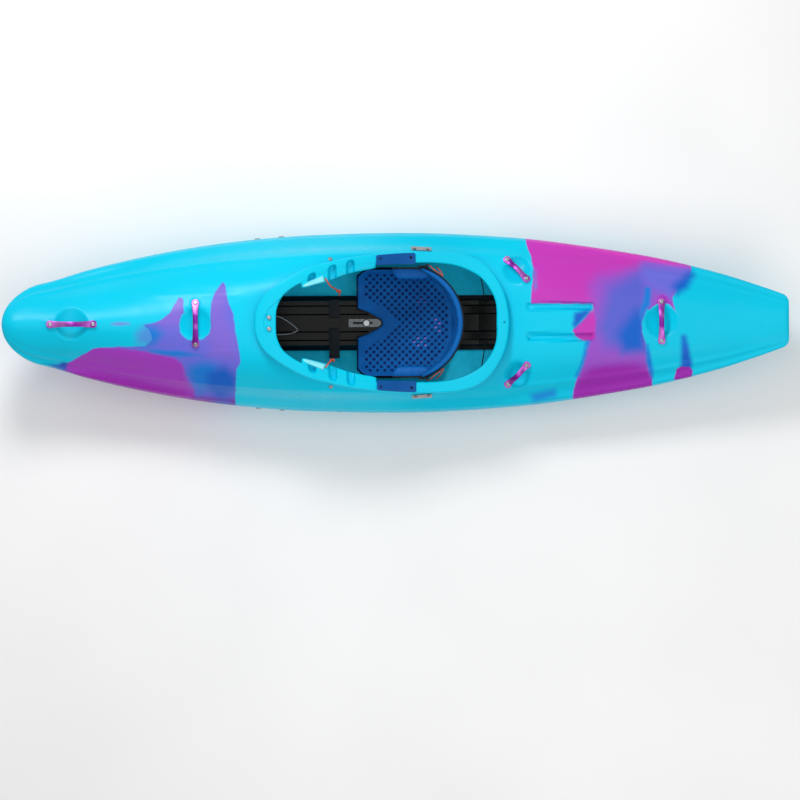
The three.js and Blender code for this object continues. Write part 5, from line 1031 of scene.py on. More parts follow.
# The cockpit's rim: its inner and outer outline in plan by shares, and its height by share of its length
RIM_FRONT_X = -494.0
RIM_LENGTH = 893.0
RIM_HALF_WIDTH = 248.0
RIM_LIP = 22.0
RIM_GROOVE = 16.0
RIM_ROUND = 6.0
RIM_DEPTH = 62.0
RIM_CROWN = 1.2
BRACE_SEAM = 1.0
OPENING_FLOOR_Z = 150.0
rim_outline_shares = [
    (0.084, 0, 0, 0),
    (0.088, 0.205, 0.006, 0.184),
    (0.11, 0.375, 0.038, 0.393),
    (0.141, 0.474, 0.104, 0.58),
    (0.184, 0.566, 0.195, 0.757),
    (0.275, 0.707, 0.285, 0.85),
    (0.373, 0.806, 0.38, 0.925),
    (0.478, 0.835, 0.478, 0.969),
    (0.608, 0.842, 0.608, 1),
    (0.725, 0.832, 0.725, 0.997),
    (0.792, 0.796, 0.8, 0.976),
    (0.847, 0.721, 0.863, 0.912),
    (0.89, 0.622, 0.914, 0.792),
    (0.924, 0.467, 0.961, 0.566),
    (0.944, 0.311, 0.986, 0.354),
    (0.95, 0.17, 0.996, 0.17),
    (0.95, 0, 1, 0),
]
rim_top_shares = [
    (0, 0.988),
    (0.1, 0.996),
    (0.178, 0.975),
    (0.28, 0.919),
    (0.439, 0.831),
    (0.518, 0.774),
    (0.584, 0.719),
    (0.667, 0.683),
    (0.745, 0.668),
    (0.882, 0.664),
    (1, 0.66),
]
RIM_SPAN_STEPS = 20
whole_rim = rim_outline_shares + [(a, -b, c, -d) for a, b, c, d in rim_outline_shares[-2:0:-1]]


def rim_line(along, across):
    """One outline of the rim in plan, from the two columns that hold its shares."""
    points = [(RIM_FRONT_X + row[along] * RIM_LENGTH, row[across] * RIM_HALF_WIDTH) for row in whole_rim]
    return curve_points(points, RIM_SPAN_STEPS, closed=True)


rim_inner, rim_outer = rim_line(0, 1), rim_line(2, 3)


def rim_top(x):
    """The height of the rim's top, which follows the deck from front to rear."""
    share = min(max((x - RIM_FRONT_X) / RIM_LENGTH, 0), 1)
    return value_at(rim_top_shares, 1, share) * HULL_HEIGHT


FRONT_LAND_X = -462.0
FRONT_LAND_HALF = 81.0
FRONT_LAND_SWEEP = 53.0
FRONT_LAND_DEPTH = 4.0
FRONT_LAND_SOFT = 2.0
FRONT_LAND_ENDS = (-400.0, -395.0)
BRACE_RUN = (-345.0, -322.0, -72.0, -55.0)
RIM_TOP_STEPS = 20
FLUTE_XS = (-293.0, -221.0, -157.0)
FLUTE_HALF = 14.5
FLUTE_REACH = 21.0
FLUTE_DEPTH = 24.0
FLUTE_END_HALF = 0.1
FLUTE_SIDE = 1.0
FLUTE_FLOOR_SHARE = 0.55


def flute_drop(x, outward):
    """How deep a finger flute of the braces is, at a distance outward from the rim's inner edge."""
    reach = min(max(outward, 0.0) / FLUTE_REACH, 1.0)
    half = FLUTE_HALF * math.sqrt(1 - reach**2) + FLUTE_END_HALF
    away = min(abs(x - middle) for middle in FLUTE_XS)
    side = float(smooth_step(half + FLUTE_SIDE, half * FLUTE_FLOOR_SHARE, away))
    return FLUTE_DEPTH * (1 - reach**4) * side


def corner(centre, radius, start, end, steps=5):
    """Points on an arc from one angle in degrees to another."""
    angles = np.radians(np.linspace(start, end, steps))
    return [(centre[0] + radius * math.cos(a), centre[1] + radius * math.sin(a)) for a in angles]


def rim_ring(inner, outer):
    """One ring of the rim: a rounded lip with a groove under it, and the stalk that stands in the deck."""
    direction = outer - inner
    width = np.linalg.norm(direction)
    direction = direction / width
    inside = RIM_ROUND - (RIM_ROUND - BRACE_SEAM) * float(along_run(BRACE_RUN, inner[0]))
    top = [(u, 0.0) for u in np.linspace(inside, width - RIM_ROUND, RIM_TOP_STEPS)[1:-1]]
    profile = corner((inside, -inside), inside, 180, 90) + top
    profile += corner((width - RIM_ROUND, -RIM_ROUND), RIM_ROUND, 90, 0)
    profile += corner((width - RIM_ROUND, -RIM_LIP + RIM_ROUND), RIM_ROUND, 0, -90)
    profile += [(width - RIM_GROOVE, -RIM_LIP), (width - RIM_GROOVE, -RIM_DEPTH), (0.0, -RIM_DEPTH)]
    points = []
    for u, z in profile:
        x, y = inner + direction * u
        crown = RIM_CROWN * (1 - (2 * u / width - 1) ** 2) if z > -RIM_ROUND else 0.0
        boundary = FRONT_LAND_X + FRONT_LAND_SWEEP * (y / FRONT_LAND_HALF) ** 2
        land = float(smooth_step(-FRONT_LAND_SOFT, FRONT_LAND_SOFT, x - boundary))
        land *= float(smooth_step(*FRONT_LAND_ENDS[::-1], x))
        drop = FRONT_LAND_DEPTH * land if z > -RIM_ROUND - 1 else 0.0
        if z > -RIM_LIP:
            drop = max(drop, flute_drop(x, u))
        points.append((x, y, rim_top(x) + z + crown - drop))
    return points


rim = mesh_object("rim", *loft([rim_ring(a, b) for a, b in zip(rim_inner, rim_outer)], hoop=True), body=None)
rim.data.materials.append(hull_plastic)

# The plug that opens the deck inside the rim, as far out as the middle of its stalk
plug_line = []
for inner, outer in zip(rim_inner, rim_outer):
    direction = (outer - inner) / np.linalg.norm(outer - inner)
    plug_line.append(inner + direction * (np.linalg.norm(outer - inner) - RIM_GROOVE) / 2)
PLUG_TOP_Z = 520.0
plug_rings = [[(x, y, z) for x, y in plug_line] for z in (OPENING_FLOOR_Z, PLUG_TOP_Z)]
plug = mesh_object("plug", *loft(plug_rings), body=None)
plug.data.materials.append(hull_plastic)


# A small hole drilled in the rim behind the seat
RIM_HOLE_X = 382.0
RIM_HOLE_RADIUS = 3.4
RIM_HOLE_DEPTH = 9.0
RIM_HOLE_ANGLES = np.linspace(0, 2 * np.pi, 24, endpoint=False)


cut_or_join(hull, hull_inner, "DIFFERENCE")
cut_or_join(hull, plug, "DIFFERENCE")
cut_or_join(hull, rim, "UNION")
hole_rings = [
    [(RIM_HOLE_X + RIM_HOLE_RADIUS * math.cos(a), RIM_HOLE_RADIUS * math.sin(a), z) for a in RIM_HOLE_ANGLES]
    for z in (rim_top(RIM_HOLE_X) - RIM_HOLE_DEPTH, rim_top(RIM_HOLE_X) + RIM_HOLE_DEPTH)
]
rim_hole = mesh_object("rim_hole", *loft(hole_rings), body=None)
rim_hole.data.materials.append(hull_plastic)
cut_or_join(hull, rim_hole, "DIFFERENCE")
sharpen(hull, HULL_SHARP_DEGREES)
paint_patches(hull)
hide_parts("hull_shell")


# Frames of bolts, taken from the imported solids: the top of the head and the way that it faces
HEAD_REACH = 2.0
HEAD_FLAT = 0.5


def bolt_frame(name):
    """The middle of a bolt's head on top, its axis out of the head, its head radius and its length."""
    points = vertex_places(nodes[name].data)
    centre = points.mean(0)
    axis = np.linalg.svd(points - centre)[2][0]
    along = (points - centre) @ axis
    away = np.linalg.norm(points - centre - along[:, None] * axis, axis=1)
    if away[along > along.max() - HEAD_REACH].max() < away[along < along.min() + HEAD_REACH].max():
        axis, along = -axis, -along
    top = points[along > along.max() - HEAD_FLAT].mean(0)
    return top, axis, away.max(), along.max() - along.min()


# Handles
BOLT_HEAD_HEIGHT = 4.0
HANDLE_THICKNESS = 6.0
HANDLE_END_WIDTH = 27.0
HANDLE_WAIST_WIDTH = 18.0
HANDLE_OVERHANG = 13.0
HANDLE_GAP = 0.3
HANDLE_HEAD_ROOM = 8.5
HANDLE_EDGE = 1.8
HANDLE_RISES = {"long": 14.0, "short": 11.0}
HANDLE_CROWN = 1.2
HANDLE_STEPS = 44
HANDLE_TIP_SHARE = 0.35
HANDLE_TIP_STEPS = (0, 0.03, 0.1, 0.2, 0.35, 0.55, 0.8)
HANDLE_TOP_STEPS = (-0.6, -0.2, 0.2, 0.6)
HANDLE_CORNER_STEPS = 4
handle_bolts = {
    "bow_handle": ("front", "rear"),
    "foredeck_handle": ("starboard", "port"),
    "rear_handle_starboard": ("front", "rear"),
    "rear_handle_port": ("front", "rear"),
    "stern_handle": ("starboard", "port"),
}


def handle_profile(width, crown):
    """The section of a flat bar with rounded edges and a crowned top, as places across and up."""
    side, high = width / 2 - HANDLE_EDGE, HANDLE_THICKNESS - HANDLE_EDGE
    left = corner((-side, HANDLE_EDGE), HANDLE_EDGE, 270, 180, HANDLE_CORNER_STEPS)
    left += corner((-side, high), HANDLE_EDGE, 180, 90, HANDLE_CORNER_STEPS)
    top = [(side * s, HANDLE_THICKNESS + crown * (1 - s**2)) for s in HANDLE_TOP_STEPS]
    right = corner((side, high), HANDLE_EDGE, 90, 0, HANDLE_CORNER_STEPS)
    right += corner((side, HANDLE_EDGE), HANDLE_EDGE, 0, -90, HANDLE_CORNER_STEPS)
    return left + top + right


def handle_piece(name, ends):
    """A flat bar bent into a low arch, waisted in the middle, with rounded ends under the bolts."""
    frames = [bolt_frame(f"{name}_bolt_{end}") for end in ends]
    stack = BOLT_HEAD_HEIGHT + HANDLE_GAP + HANDLE_THICKNESS
    feet = [top - axis * stack for top, axis, _, _ in frames]
    along = feet[1] - feet[0]
    half = np.linalg.norm(along) / 2
    along /= 2 * half
    up = frames[0][1] + frames[1][1]
    up -= along * (up @ along)
    up /= np.linalg.norm(up)
    tilt = math.acos(min(float(frames[0][1] @ up), 1.0))
    rise = HANDLE_RISES["short" if "rear" in name else "long"]
    middle, across = (feet[0] + feet[1]) / 2, np.cross(up, along)
    slope = math.tan(tilt)
    flat_share = 1 - HANDLE_HEAD_ROOM / half
    foot = (1 - flat_share) * half * slope
    arch = rise - foot
    shoulder = flat_share * half * slope / 2 - arch
    end_share = 1 + HANDLE_OVERHANG / half
    tip = end_share - 1
    shares = [-end_share + tip * s for s in HANDLE_TIP_STEPS]
    shares += list(np.linspace(-1, 1, HANDLE_STEPS)) + [-s for s in shares[::-1]]
    rings = []
    for t in shares:
        inside = min(abs(t), 1)
        if abs(t) > flat_share:
            z = (1 - abs(t)) * half * slope
        else:
            part = t / flat_share
            z = foot + (1 - part**2) * (arch + shoulder * part**2)
        width = HANDLE_WAIST_WIDTH + (HANDLE_END_WIDTH - HANDLE_WAIST_WIDTH) * inside**3
        round_end = math.sqrt(1 - (max(abs(t) - 1, 0) / tip) ** 2)
        width *= HANDLE_TIP_SHARE + (1 - HANDLE_TIP_SHARE) * round_end
        profile = handle_profile(width, HANDLE_CROWN * (1 - inside**4))
        rings.append([middle + along * (t * half) + across * y + up * (z + lift) for y, lift in profile])
    finish_piece(mesh_object(name, *loft(rings)), handle_metal, name, sharp=50)


for name, ends in handle_bolts.items():
    handle_piece(name, ends)

# Fasteners: every bolt and screw of the hull is one instance of a head with a hex socket and of a shank
HEAD_SIDES = 36
SHANK_SIDES = 20
SOCKET_RADIUS = 0.42
SOCKET_RIM = 0.96
SOCKET_FLOOR = 0.35
SHANK_SHARE = 0.4
HEAD_HEIGHT_SHARE = 0.55
shank_profile = [(1.0, 0.0), (1.0, -0.97), (0.8, -1.0)]
head_profile = [
    (1.0, 0.0),
    (1.0, 0.45),
    (0.97, 0.62),
    (0.9, 0.78),
    (0.76, 0.93),
    (0.6, 1.0),
    (SOCKET_RADIUS * 1.12, 1.0),
]


def round_ring(radii, z):
    """A ring round Z, with one radius for each of its points."""
    angles = np.linspace(0, 2 * np.pi, len(radii), endpoint=False)
    return [(r * math.cos(a), r * math.sin(a), z) for r, a in zip(radii, angles)]


def unit_piece(name, rings):
    """A piece whose rings are in its own units rather than in millimetres."""
    piece = mesh_object(name, *loft([np.array(ring) / MM for ring in rings]), body=None)
    sharpen(piece, 40)
    return piece


def unit_head():
    """A button head one unit in radius and in height, with a hexagonal socket, standing on z 0."""
    sector = np.pi / 3
    angles = np.linspace(0, 2 * np.pi, HEAD_SIDES, endpoint=False)
    hexagon = SOCKET_RADIUS * math.cos(sector / 2) / np.cos((angles % sector) - sector / 2)
    rings = [round_ring([r] * HEAD_SIDES, z) for r, z in head_profile]
    return unit_piece("unit_head", rings + [round_ring(hexagon, z) for z in (SOCKET_RIM, SOCKET_FLOOR)])


def unit_shank():
    """A plain round bar one unit in radius that hangs one unit down from z 0."""
    return unit_piece("unit_shank", [round_ring([r] * SHANK_SIDES, z) for r, z in shank_profile])


def own_vector(tree, name):
    """The vector that each point carries under this name."""
    return add(tree, "GeometryNodeInputNamedAttribute", {"Name": name}, data_type="FLOAT_VECTOR").outputs[0]


def fastener_tree():
    """Instances of a head and a shank on points that carry their own axis and sizes."""
    tree = bpy.data.node_groups.new("fasteners", "GeometryNodeTree")
    sockets = {"Geometry": "Geometry", "Head": "Object", "Shank": "Object", "Material": "Material"}
    for name, kind in sockets.items():
        tree.interface.new_socket(name=name, in_out="INPUT", socket_type=f"NodeSocket{kind}")
    tree.interface.new_socket(name="Geometry", in_out="OUTPUT", socket_type="NodeSocketGeometry")
    group = add(tree, "NodeGroupInput", {})
    axis = own_vector(tree, "axis")
    turn = add(tree, "FunctionNodeAlignRotationToVector", {"Vector": axis}, axis="Z").outputs[0]
    joined = add(tree, "GeometryNodeJoinGeometry", {})
    for part in ("Head", "Shank"):
        form = add(tree, "GeometryNodeObjectInfo", {"Object": group.outputs[part]}).outputs["Geometry"]
        size = own_vector(tree, f"{part.lower()}_size")
        inputs = {"Points": group.outputs["Geometry"], "Instance": form, "Rotation": turn, "Scale": size}
        placed = add(tree, "GeometryNodeInstanceOnPoints", inputs).outputs[0]
        tree.links.new(placed, joined.inputs[0])
    real = add(tree, "GeometryNodeRealizeInstances", {"Geometry": joined.outputs[0]}).outputs[0]
    painted = add(tree, "GeometryNodeSetMaterial", {"Geometry": real, "Material": group.outputs["Material"]})
    add(tree, "NodeGroupOutput", {"Geometry": painted.outputs[0]})
    return tree


screw_names = [name for name in nodes if "screw" in name]
bolt_names = [name for name in nodes if "bolt" in name]


def fastener_points(fastener_names):
    """An object with one point for each fastener, under its head, that carries its axis and its sizes."""
    frames = [bolt_frame(name) for name in fastener_names]
    heights = [min(BOLT_HEAD_HEIGHT, radius * HEAD_HEIGHT_SHARE) for _, _, radius, _ in frames]
    seats = [top - axis * height for (top, axis, _, _), height in zip(frames, heights)]
    mesh = bpy.data.meshes.new("fastener_points")
    mesh.from_pydata([tuple(seat * MM) for seat in seats], [], [])
    columns = {"axis": [], "head_size": [], "shank_size": []}
    for (_, axis, radius, length), height in zip(frames, heights):
        columns["axis"].append(axis)
        columns["head_size"].append(mm(radius, radius, height))
        columns["shank_size"].append(mm(radius * SHANK_SHARE, radius * SHANK_SHARE, length - height))
    for name, values in columns.items():
        attribute = mesh.attributes.new(name, "FLOAT_VECTOR", "POINT")
        attribute.data.foreach_set("vector", np.array(values, float).ravel())
    carrier = bpy.data.objects.new("fastener_points", mesh)
    bpy.context.collection.objects.link(carrier)
    return carrier


def fasteners(piece_name, fastener_names, material):
    """One piece of all these fasteners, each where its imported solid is."""
    head, shank, carrier = unit_head(), unit_shank(), fastener_points(fastener_names)
    modifier = carrier.modifiers.new("fasteners", "NODES")
    modifier.node_group = fastener_tree()
    items = modifier.node_group.interface.items_tree
    sockets = {item.name: item.identifier for item in items if item.in_out == "INPUT"}
    for name, value in (("Head", head), ("Shank", shank), ("Material", material)):
        modifier[sockets[name]] = value
    baked = bpy.data.meshes.new_from_object(carrier.evaluated_get(bpy.context.evaluated_depsgraph_get()))
    carrier.modifiers.clear()
    for spare in (carrier, head, shank):
        bpy.data.objects.remove(spare)
    piece = bpy.data.objects.new(piece_name, baked)
    bpy.context.collection.objects.link(piece)
    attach(piece, "hull")
    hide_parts(*fastener_names)


fasteners("bolts", bolt_names, steel)
fasteners("cover_screws", screw_names, dark_steel)


# Seat pad: moulded foam over the pan, with a diagonal lattice of dimples on its top
SEAT_FRONT_X = -137.0
SEAT_LENGTH = 344.0
SEAT_HALF_WIDTH = 194.0
SEAT_FLAT_HALF = 110.0
SEAT_BOTTOM_Z = 49.6
SEAT_WING_RISE = 80.0
SEAT_LIP_RISE = 14.0
SEAT_LIP_X = -60.0
SEAT_PAN = 5.3
PAD_THICKNESS = 14.0
PAD_CROWN = 4.0
PAD_INSET = 4.0
PAD_EDGE_ROUND = 7.0
PAD_SIDE_LIMIT = 187.2
PAD_ROWS, PAD_COLUMNS = 164, 184
PAD_CLUSTER = 0.3
seat_outline_shares = [
    (0, 0.85),
    (0.05, 0.93),
    (0.15, 1),
    (0.5, 1),
    (0.66, 0.97),
    (0.76, 0.9),
    (0.85, 0.76),
    (0.93, 0.56),
    (1, 0.3),
]
# The notch in the pad's front, from its middle outwards: y and x
notch_points = [
    (0, -45.6),
    (5.0, -46.5),
    (12.6, -51.0),
    (21.3, -66.0),
    (38.6, -97.4),
    (52.0, -133.0),
    (56.0, -137.0),
]
LATTICE_PITCH = 12.8
LATTICE_DEPTH = 3.4
LATTICE_LOW, LATTICE_HIGH = 0.02, 0.6
TONGUE_APEX_X = 24.5
TONGUE_LENGTH = 133.0
TONGUE_HALF = 98.0
# Where the dimples start: behind the pad's front, inside its outline, and beside the plain tongue
FRONT_MARGIN = (18.0, 26.0)
OUTLINE_MARGIN = (10.0, 14.0)
TONGUE_MARGIN = (-2.0, 3.0)
REAR_SLOPE = 0.7
PAD_SHARES = 400


def lattice(x, y):
    """How deep a moulded dimple is at a place, 0 to 1: rows of round dimples with half an offset."""
    wave = np.cos(np.pi * x / LATTICE_PITCH) * np.cos(np.pi * y / LATTICE_PITCH)
    return smooth_step(LATTICE_LOW, LATTICE_HIGH, wave)


def clustered(count):
    """Shares from 0 to 1 that lie closer together at both ends."""
    t = np.linspace(0, 1, count)
    return t - PAD_CLUSTER * np.sin(2 * np.pi * t) / (2 * np.pi)


def edge_drop(distance, radius):
    """How much lower a rounded edge is at a distance inside the outline."""
    reach = np.clip(1 - distance / radius, 0, 1)
    return radius * (1 - np.sqrt(1 - reach**2))


def seat_under(x, y):
    """The height of the seat pan's underside: raised wings at the sides and a raised lip in front."""
    wing = np.maximum(np.abs(y) - SEAT_FLAT_HALF, 0) / (SEAT_HALF_WIDTH - SEAT_FLAT_HALF)
    front = np.maximum(SEAT_LIP_X - x, 0) / (SEAT_LIP_X - SEAT_FRONT_X)
    return SEAT_BOTTOM_Z + SEAT_WING_RISE * wing**2 + SEAT_LIP_RISE * front**2


def pad_edges():
    """The pad's columns across the seat, how far out they go, and the x of its front and rear at each."""
    shares = np.linspace(0, 1, PAD_SHARES)
    xs = SEAT_FRONT_X + PAD_INSET + shares * (SEAT_LENGTH - 2 * PAD_INSET)
    halves = SEAT_HALF_WIDTH * np.array([value_at(seat_outline_shares, 1, s) for s in shares]) - PAD_INSET
    widest = halves.argmax()
    limit = min(halves.max(), PAD_SIDE_LIMIT)
    y = limit * (2 * clustered(PAD_COLUMNS) - 1)
    away = np.abs(y)
    front_x = np.interp(away, halves[: widest + 1], xs[: widest + 1])
    rear_x = np.interp(away, halves[: widest - 1 : -1], xs[: widest - 1 : -1])
    notch = np.array(notch_points)
    front_x = np.where(away < notch[-1, 0], np.interp(away, notch[:, 0], notch[:, 1]), front_x)
    return y, limit, np.maximum(front_x, SEAT_FRONT_X + PAD_INSET), rear_x


def pad_dimples(x, y, distance):
    """How deep the dimples are: none near the pad's edges, and none on the plain tongue in front."""
    mask = smooth_step(*FRONT_MARGIN, x - (SEAT_FRONT_X + PAD_INSET))
    mask = mask * smooth_step(*OUTLINE_MARGIN, distance)
    tongue = TONGUE_HALF * (1 - (x - (TONGUE_APEX_X - TONGUE_LENGTH)) / TONGUE_LENGTH)
    mask = mask * np.where(x < TONGUE_APEX_X, smooth_step(*TONGUE_MARGIN, np.abs(y) - tongue), 1.0)
    return lattice(x, y) * mask


def slab_faces(rows, columns):
    """The faces of a slab made of two equal grids of points, the second one under the first."""
    numbers = np.arange(rows * columns).reshape(rows, columns)
    corners = (numbers[:-1, :-1], numbers[:-1, 1:], numbers[1:, 1:], numbers[1:, :-1])
    top = np.stack(corners, -1).reshape(-1, 4)
    border = [*numbers[:, 0], *numbers[-1, 1:], *numbers[-2::-1, -1], *numbers[0, -2:0:-1]]
    sides = [(a, b, b + numbers.size, a + numbers.size) for a, b in zip(border, border[1:] + border[:1])]
    return [*top, *(top[:, ::-1] + numbers.size), *sides]


def seat_pad_piece():
    """The pad as a grid that follows the seat's outline, with a rounded edge, a crown and dimples."""
    y, limit, front_x, rear_x = pad_edges()
    across_edge = 1 / np.sqrt(1 + np.abs(np.gradient(front_x, y)) ** 2)
    share = clustered(PAD_ROWS)[:, None]
    x = front_x + share * (rear_x - front_x)
    y = np.broadcast_to(y, x.shape)
    sides = [(x - front_x) * across_edge, (rear_x - x) * REAR_SLOPE, limit - np.abs(y)]
    distance = np.minimum.reduce(sides)
    crown = PAD_CROWN * (1 - (y / limit) ** 4) * (1 - (2 * share - 1) ** 4)
    dimple = pad_dimples(x, y, distance)
    under = seat_under(x, y) + SEAT_PAN
    top = under + PAD_THICKNESS - PAD_CROWN + crown - edge_drop(distance, PAD_EDGE_ROUND)
    top = top - LATTICE_DEPTH * dimple
    points = np.concatenate([np.stack([x, y, z], -1).reshape(-1, 3) for z in (top, under)])
    piece = mesh_object("seat_pad", points, slab_faces(*x.shape), body="seat")
    paint_dimples(piece, points[: x.size], dimple.ravel())
    finish_piece(piece, seat_foam, "seat_pad")
    return piece


def paint_dimples(piece, known, depths):
    """Stores how deep in a dimple each vertex lies, from the known point with the same rounded place."""
    table = {tuple(place): depth for place, depth in zip(np.round(known, 1), depths)}
    places = np.round(vertex_places(piece.data), 1)
    store_values(piece.data, "dimple", np.clip([table.get(tuple(place), 0.0) for place in places], 0, 1))


# Lilac foam plugs in the bottoms of some dimples, as steps of the lattice from three middles
PLUG_STEP = 12.8
PLUG_REACH = 6.0
PLUG_EDGE = 0.5
PLUG_DEPTH_SHARES = (0.45, 0.75)
plug_groups = [
    ((91.7, 55.0), ((0, 2), (-1, 1), (1, 1), (0, 0), (-1, -1), (1, -1), (0, -2))),
    ((92.8, -70.4), ((-1, 1), (1, 1), (0, 0), (-2, 0), (-1, -1), (1, -1))),
    ((155.0, -6.0), ((0, 0), (-1, 1), (-1, -1), (0, -2))),
]


def paint_plugs(piece):
    """Marks the dimples nearest to the plugs' places."""
    places = vertex_places(piece.data)
    dimple = np.empty(len(places))
    piece.data.attributes["dimple"].data.foreach_get("value", dimple)
    near = np.zeros(len(places))
    for (x, y), steps in plug_groups:
        for along, across in steps:
            far = np.hypot(places[:, 0] - x - along * PLUG_STEP, places[:, 1] - y - across * PLUG_STEP)
            near = np.maximum(near, smooth_step(PLUG_REACH + PLUG_EDGE, PLUG_REACH - PLUG_EDGE, far))
    store_values(piece.data, "plug", near * smooth_step(*PLUG_DEPTH_SHARES, dimple))


seat_pad = seat_pad_piece()
paint_plugs(seat_pad)

# Hip pads: blocks of skinned foam with a crowned face, thinner at both ends
HIP_FRONT_X = -11.0
HIP_REAR_X = 128.0
HIP_BACK_Y = 187.7
HIP_THICKNESS = 36.0
HIP_EDGE = 11.0
HIP_DRAW = 9.0
HIP_LOW_Z = 142.0
HIP_HIGH_Z = 238.0
HIP_STEPS = 60
HIP_SQUARENESS = 4.5
HIP_FACE_STEPS = 22
HIP_SIDE = 3.0
HIP_BACK_SHARE = 0.96
HIP_SWELL_POWER = 7
HIP_END_POWER = 14
HIP_END_SHARE = 0.25


def rounded(angle, power):
    """The cosine and sine of an angle, drawn towards a square by a power below 1."""
    return [math.copysign(abs(value) ** power, value) for value in (math.cos(angle), math.sin(angle))]


def hip_pad(word, side):
    """Rings from front to rear, each with a flat back and a rounded face towards the seat."""
    rings = []
    for share in np.linspace(0, 1, HIP_STEPS):
        reach = abs(2 * share - 1)
        swell = 1 - reach**HIP_SWELL_POWER
        end = math.sqrt(max(1 - reach**HIP_END_POWER, 0.0))
        thick = (HIP_EDGE + (HIP_THICKNESS - HIP_EDGE) * swell) * (HIP_END_SHARE + (1 - HIP_END_SHARE) * end)
        low, high = HIP_LOW_Z + HIP_DRAW * (1 - swell), HIP_HIGH_Z - HIP_DRAW * (1 - swell)
        middle, half = (low + high) / 2, (high - low) / 2
        ring = [(HIP_BACK_Y, middle + sign * half * HIP_BACK_SHARE) for sign in (-1, 1)]
        for angle in np.linspace(np.pi / 2, -np.pi / 2, HIP_FACE_STEPS):
            inward, up = rounded(angle, 2 / HIP_SQUARENESS)
            ring.append((HIP_BACK_Y - HIP_SIDE - (thick - HIP_SIDE) * inward, middle + half * up))
        x = HIP_FRONT_X + share * (HIP_REAR_X - HIP_FRONT_X)
        rings.append(mirrored([(x, y, z) for y, z in ring], side))
    piece = mesh_object(f"hip_pad_{word}", *loft(rings), body="seat")
    finish_piece(piece, hip_foam, f"hip_pad_{word}", sharp=55)


for word, side in BOTH_SIDES:
    hip_pad(word, side)

# Backrest: a foam band with the same lattice on its front, in a black moulded shell
BAND_CENTRE_X = 35.0
BAND_RADIUS = 206.0
BAND_LEAN = 18.0
BAND_SHELL = 4.0
BAND_LOW_Z = 244.0
BAND_HIGH_Z = 344.0
BAND_WING_DROP = 44.0
BAND_HALF_ANGLE = 1.28
BAND_THICKNESS = 16.0
BAND_EDGE = 8.0
BAND_CROWN = 4.0
BAND_DRAW = 10.0
BAND_STEPS = 170
BAND_FACE_STEPS = 44
BAND_EDGE_ROUND = 6.0
BAND_LATTICE_DEPTH = 1.8
BAND_LATTICE_MARGIN = (8.0, 13.0)
BAND_GAP = 0.5
BAND_BACK_ROUND = 1.0


def band_place(angle, radius, z):
    """A point of the backrest's band, whose middle axis is upright."""
    return (BAND_CENTRE_X + radius * math.cos(angle), radius * math.sin(angle), z)


def band_sizes(angle):
    """The shell's top edge, its lean, and the share of the way to the band's end."""
    turned = (angle / BAND_HALF_ANGLE) ** 2
    return BAND_HIGH_Z - BAND_WING_DROP * turned, BAND_LEAN * (1 - turned), abs(angle) / BAND_HALF_ANGLE


def backrest_pad_piece():
    """Upright rings along the band: a dimpled and crowned face in front of a flat back."""
    rings, depths = [], []
    for angle in np.linspace(-BAND_HALF_ANGLE, BAND_HALF_ANGLE, BAND_STEPS):
        shell_top, lean, wing = band_sizes(angle)
        swell = 1 - wing**6
        draw = BAND_DRAW * (1 - swell)
        high, low = shell_top - draw - BAND_BACK_ROUND, BAND_LOW_Z + draw + BAND_BACK_ROUND
        thick = BAND_EDGE + (BAND_THICKNESS - BAND_EDGE) * swell
        back = BAND_RADIUS - BAND_SHELL - BAND_GAP
        ring, ring_depths = [], []
        end_gap = (1 - wing) * BAND_RADIUS * BAND_HALF_ANGLE
        for s in np.linspace(0, 1, BAND_FACE_STEPS):
            z = low + (high - low) * s
            gap = min(z - low, high - z, end_gap)
            face = thick + BAND_CROWN * swell * (1 - (2 * s - 1) ** 2)
            deep = float(lattice(angle * BAND_RADIUS, z) * smooth_step(*BAND_LATTICE_MARGIN, gap))
            depth = face - float(edge_drop(gap, BAND_EDGE_ROUND)) - BAND_LATTICE_DEPTH * deep
            slant = lean * (shell_top - z) / (shell_top - BAND_LOW_Z)
            ring.append(band_place(angle, back - depth - slant, z))
            ring_depths.append(deep)
        for z in (high - BAND_BACK_ROUND, low + BAND_BACK_ROUND):
            slant = lean * (shell_top - z) / (shell_top - BAND_LOW_Z)
            ring.append(band_place(angle, back - slant, z))
            ring_depths.append(0.0)
        rings.append(ring)
        depths += ring_depths
    piece = mesh_object("backrest_pad", *loft(rings), body="backrest")
    paint_dimples(piece, np.concatenate(rings), depths)
    finish_piece(piece, seat_foam, "backrest_pad")


backrest_pad_piece()


# CAD solids that keep their shape, by the material that they take
kept = [
    (black_plastic, ("seat_pan", "backrest_shell", "centre_beam", "strap_buckle")),
    (black_plastic, ("footrest_starboard", "footrest_port")),
    (grey_metal, ("adjuster_plate", "footrest_rail_starboard", "footrest_rail_port")),
    (steel, ("hanger_plate_starboard", "hanger_plate_port")),
    (black_foam, ("front_pillar", "rear_pillar")),
]
for material, names in kept:
    for name in names:
        slots = nodes[name].data.materials
        if slots:
            slots[0] = material
        else:
            slots.append(material)

for cord, knot in zip(pull_cords, pull_knots):
    for piece in (cord, knot):
        piece.data.materials.append(orange_braid)


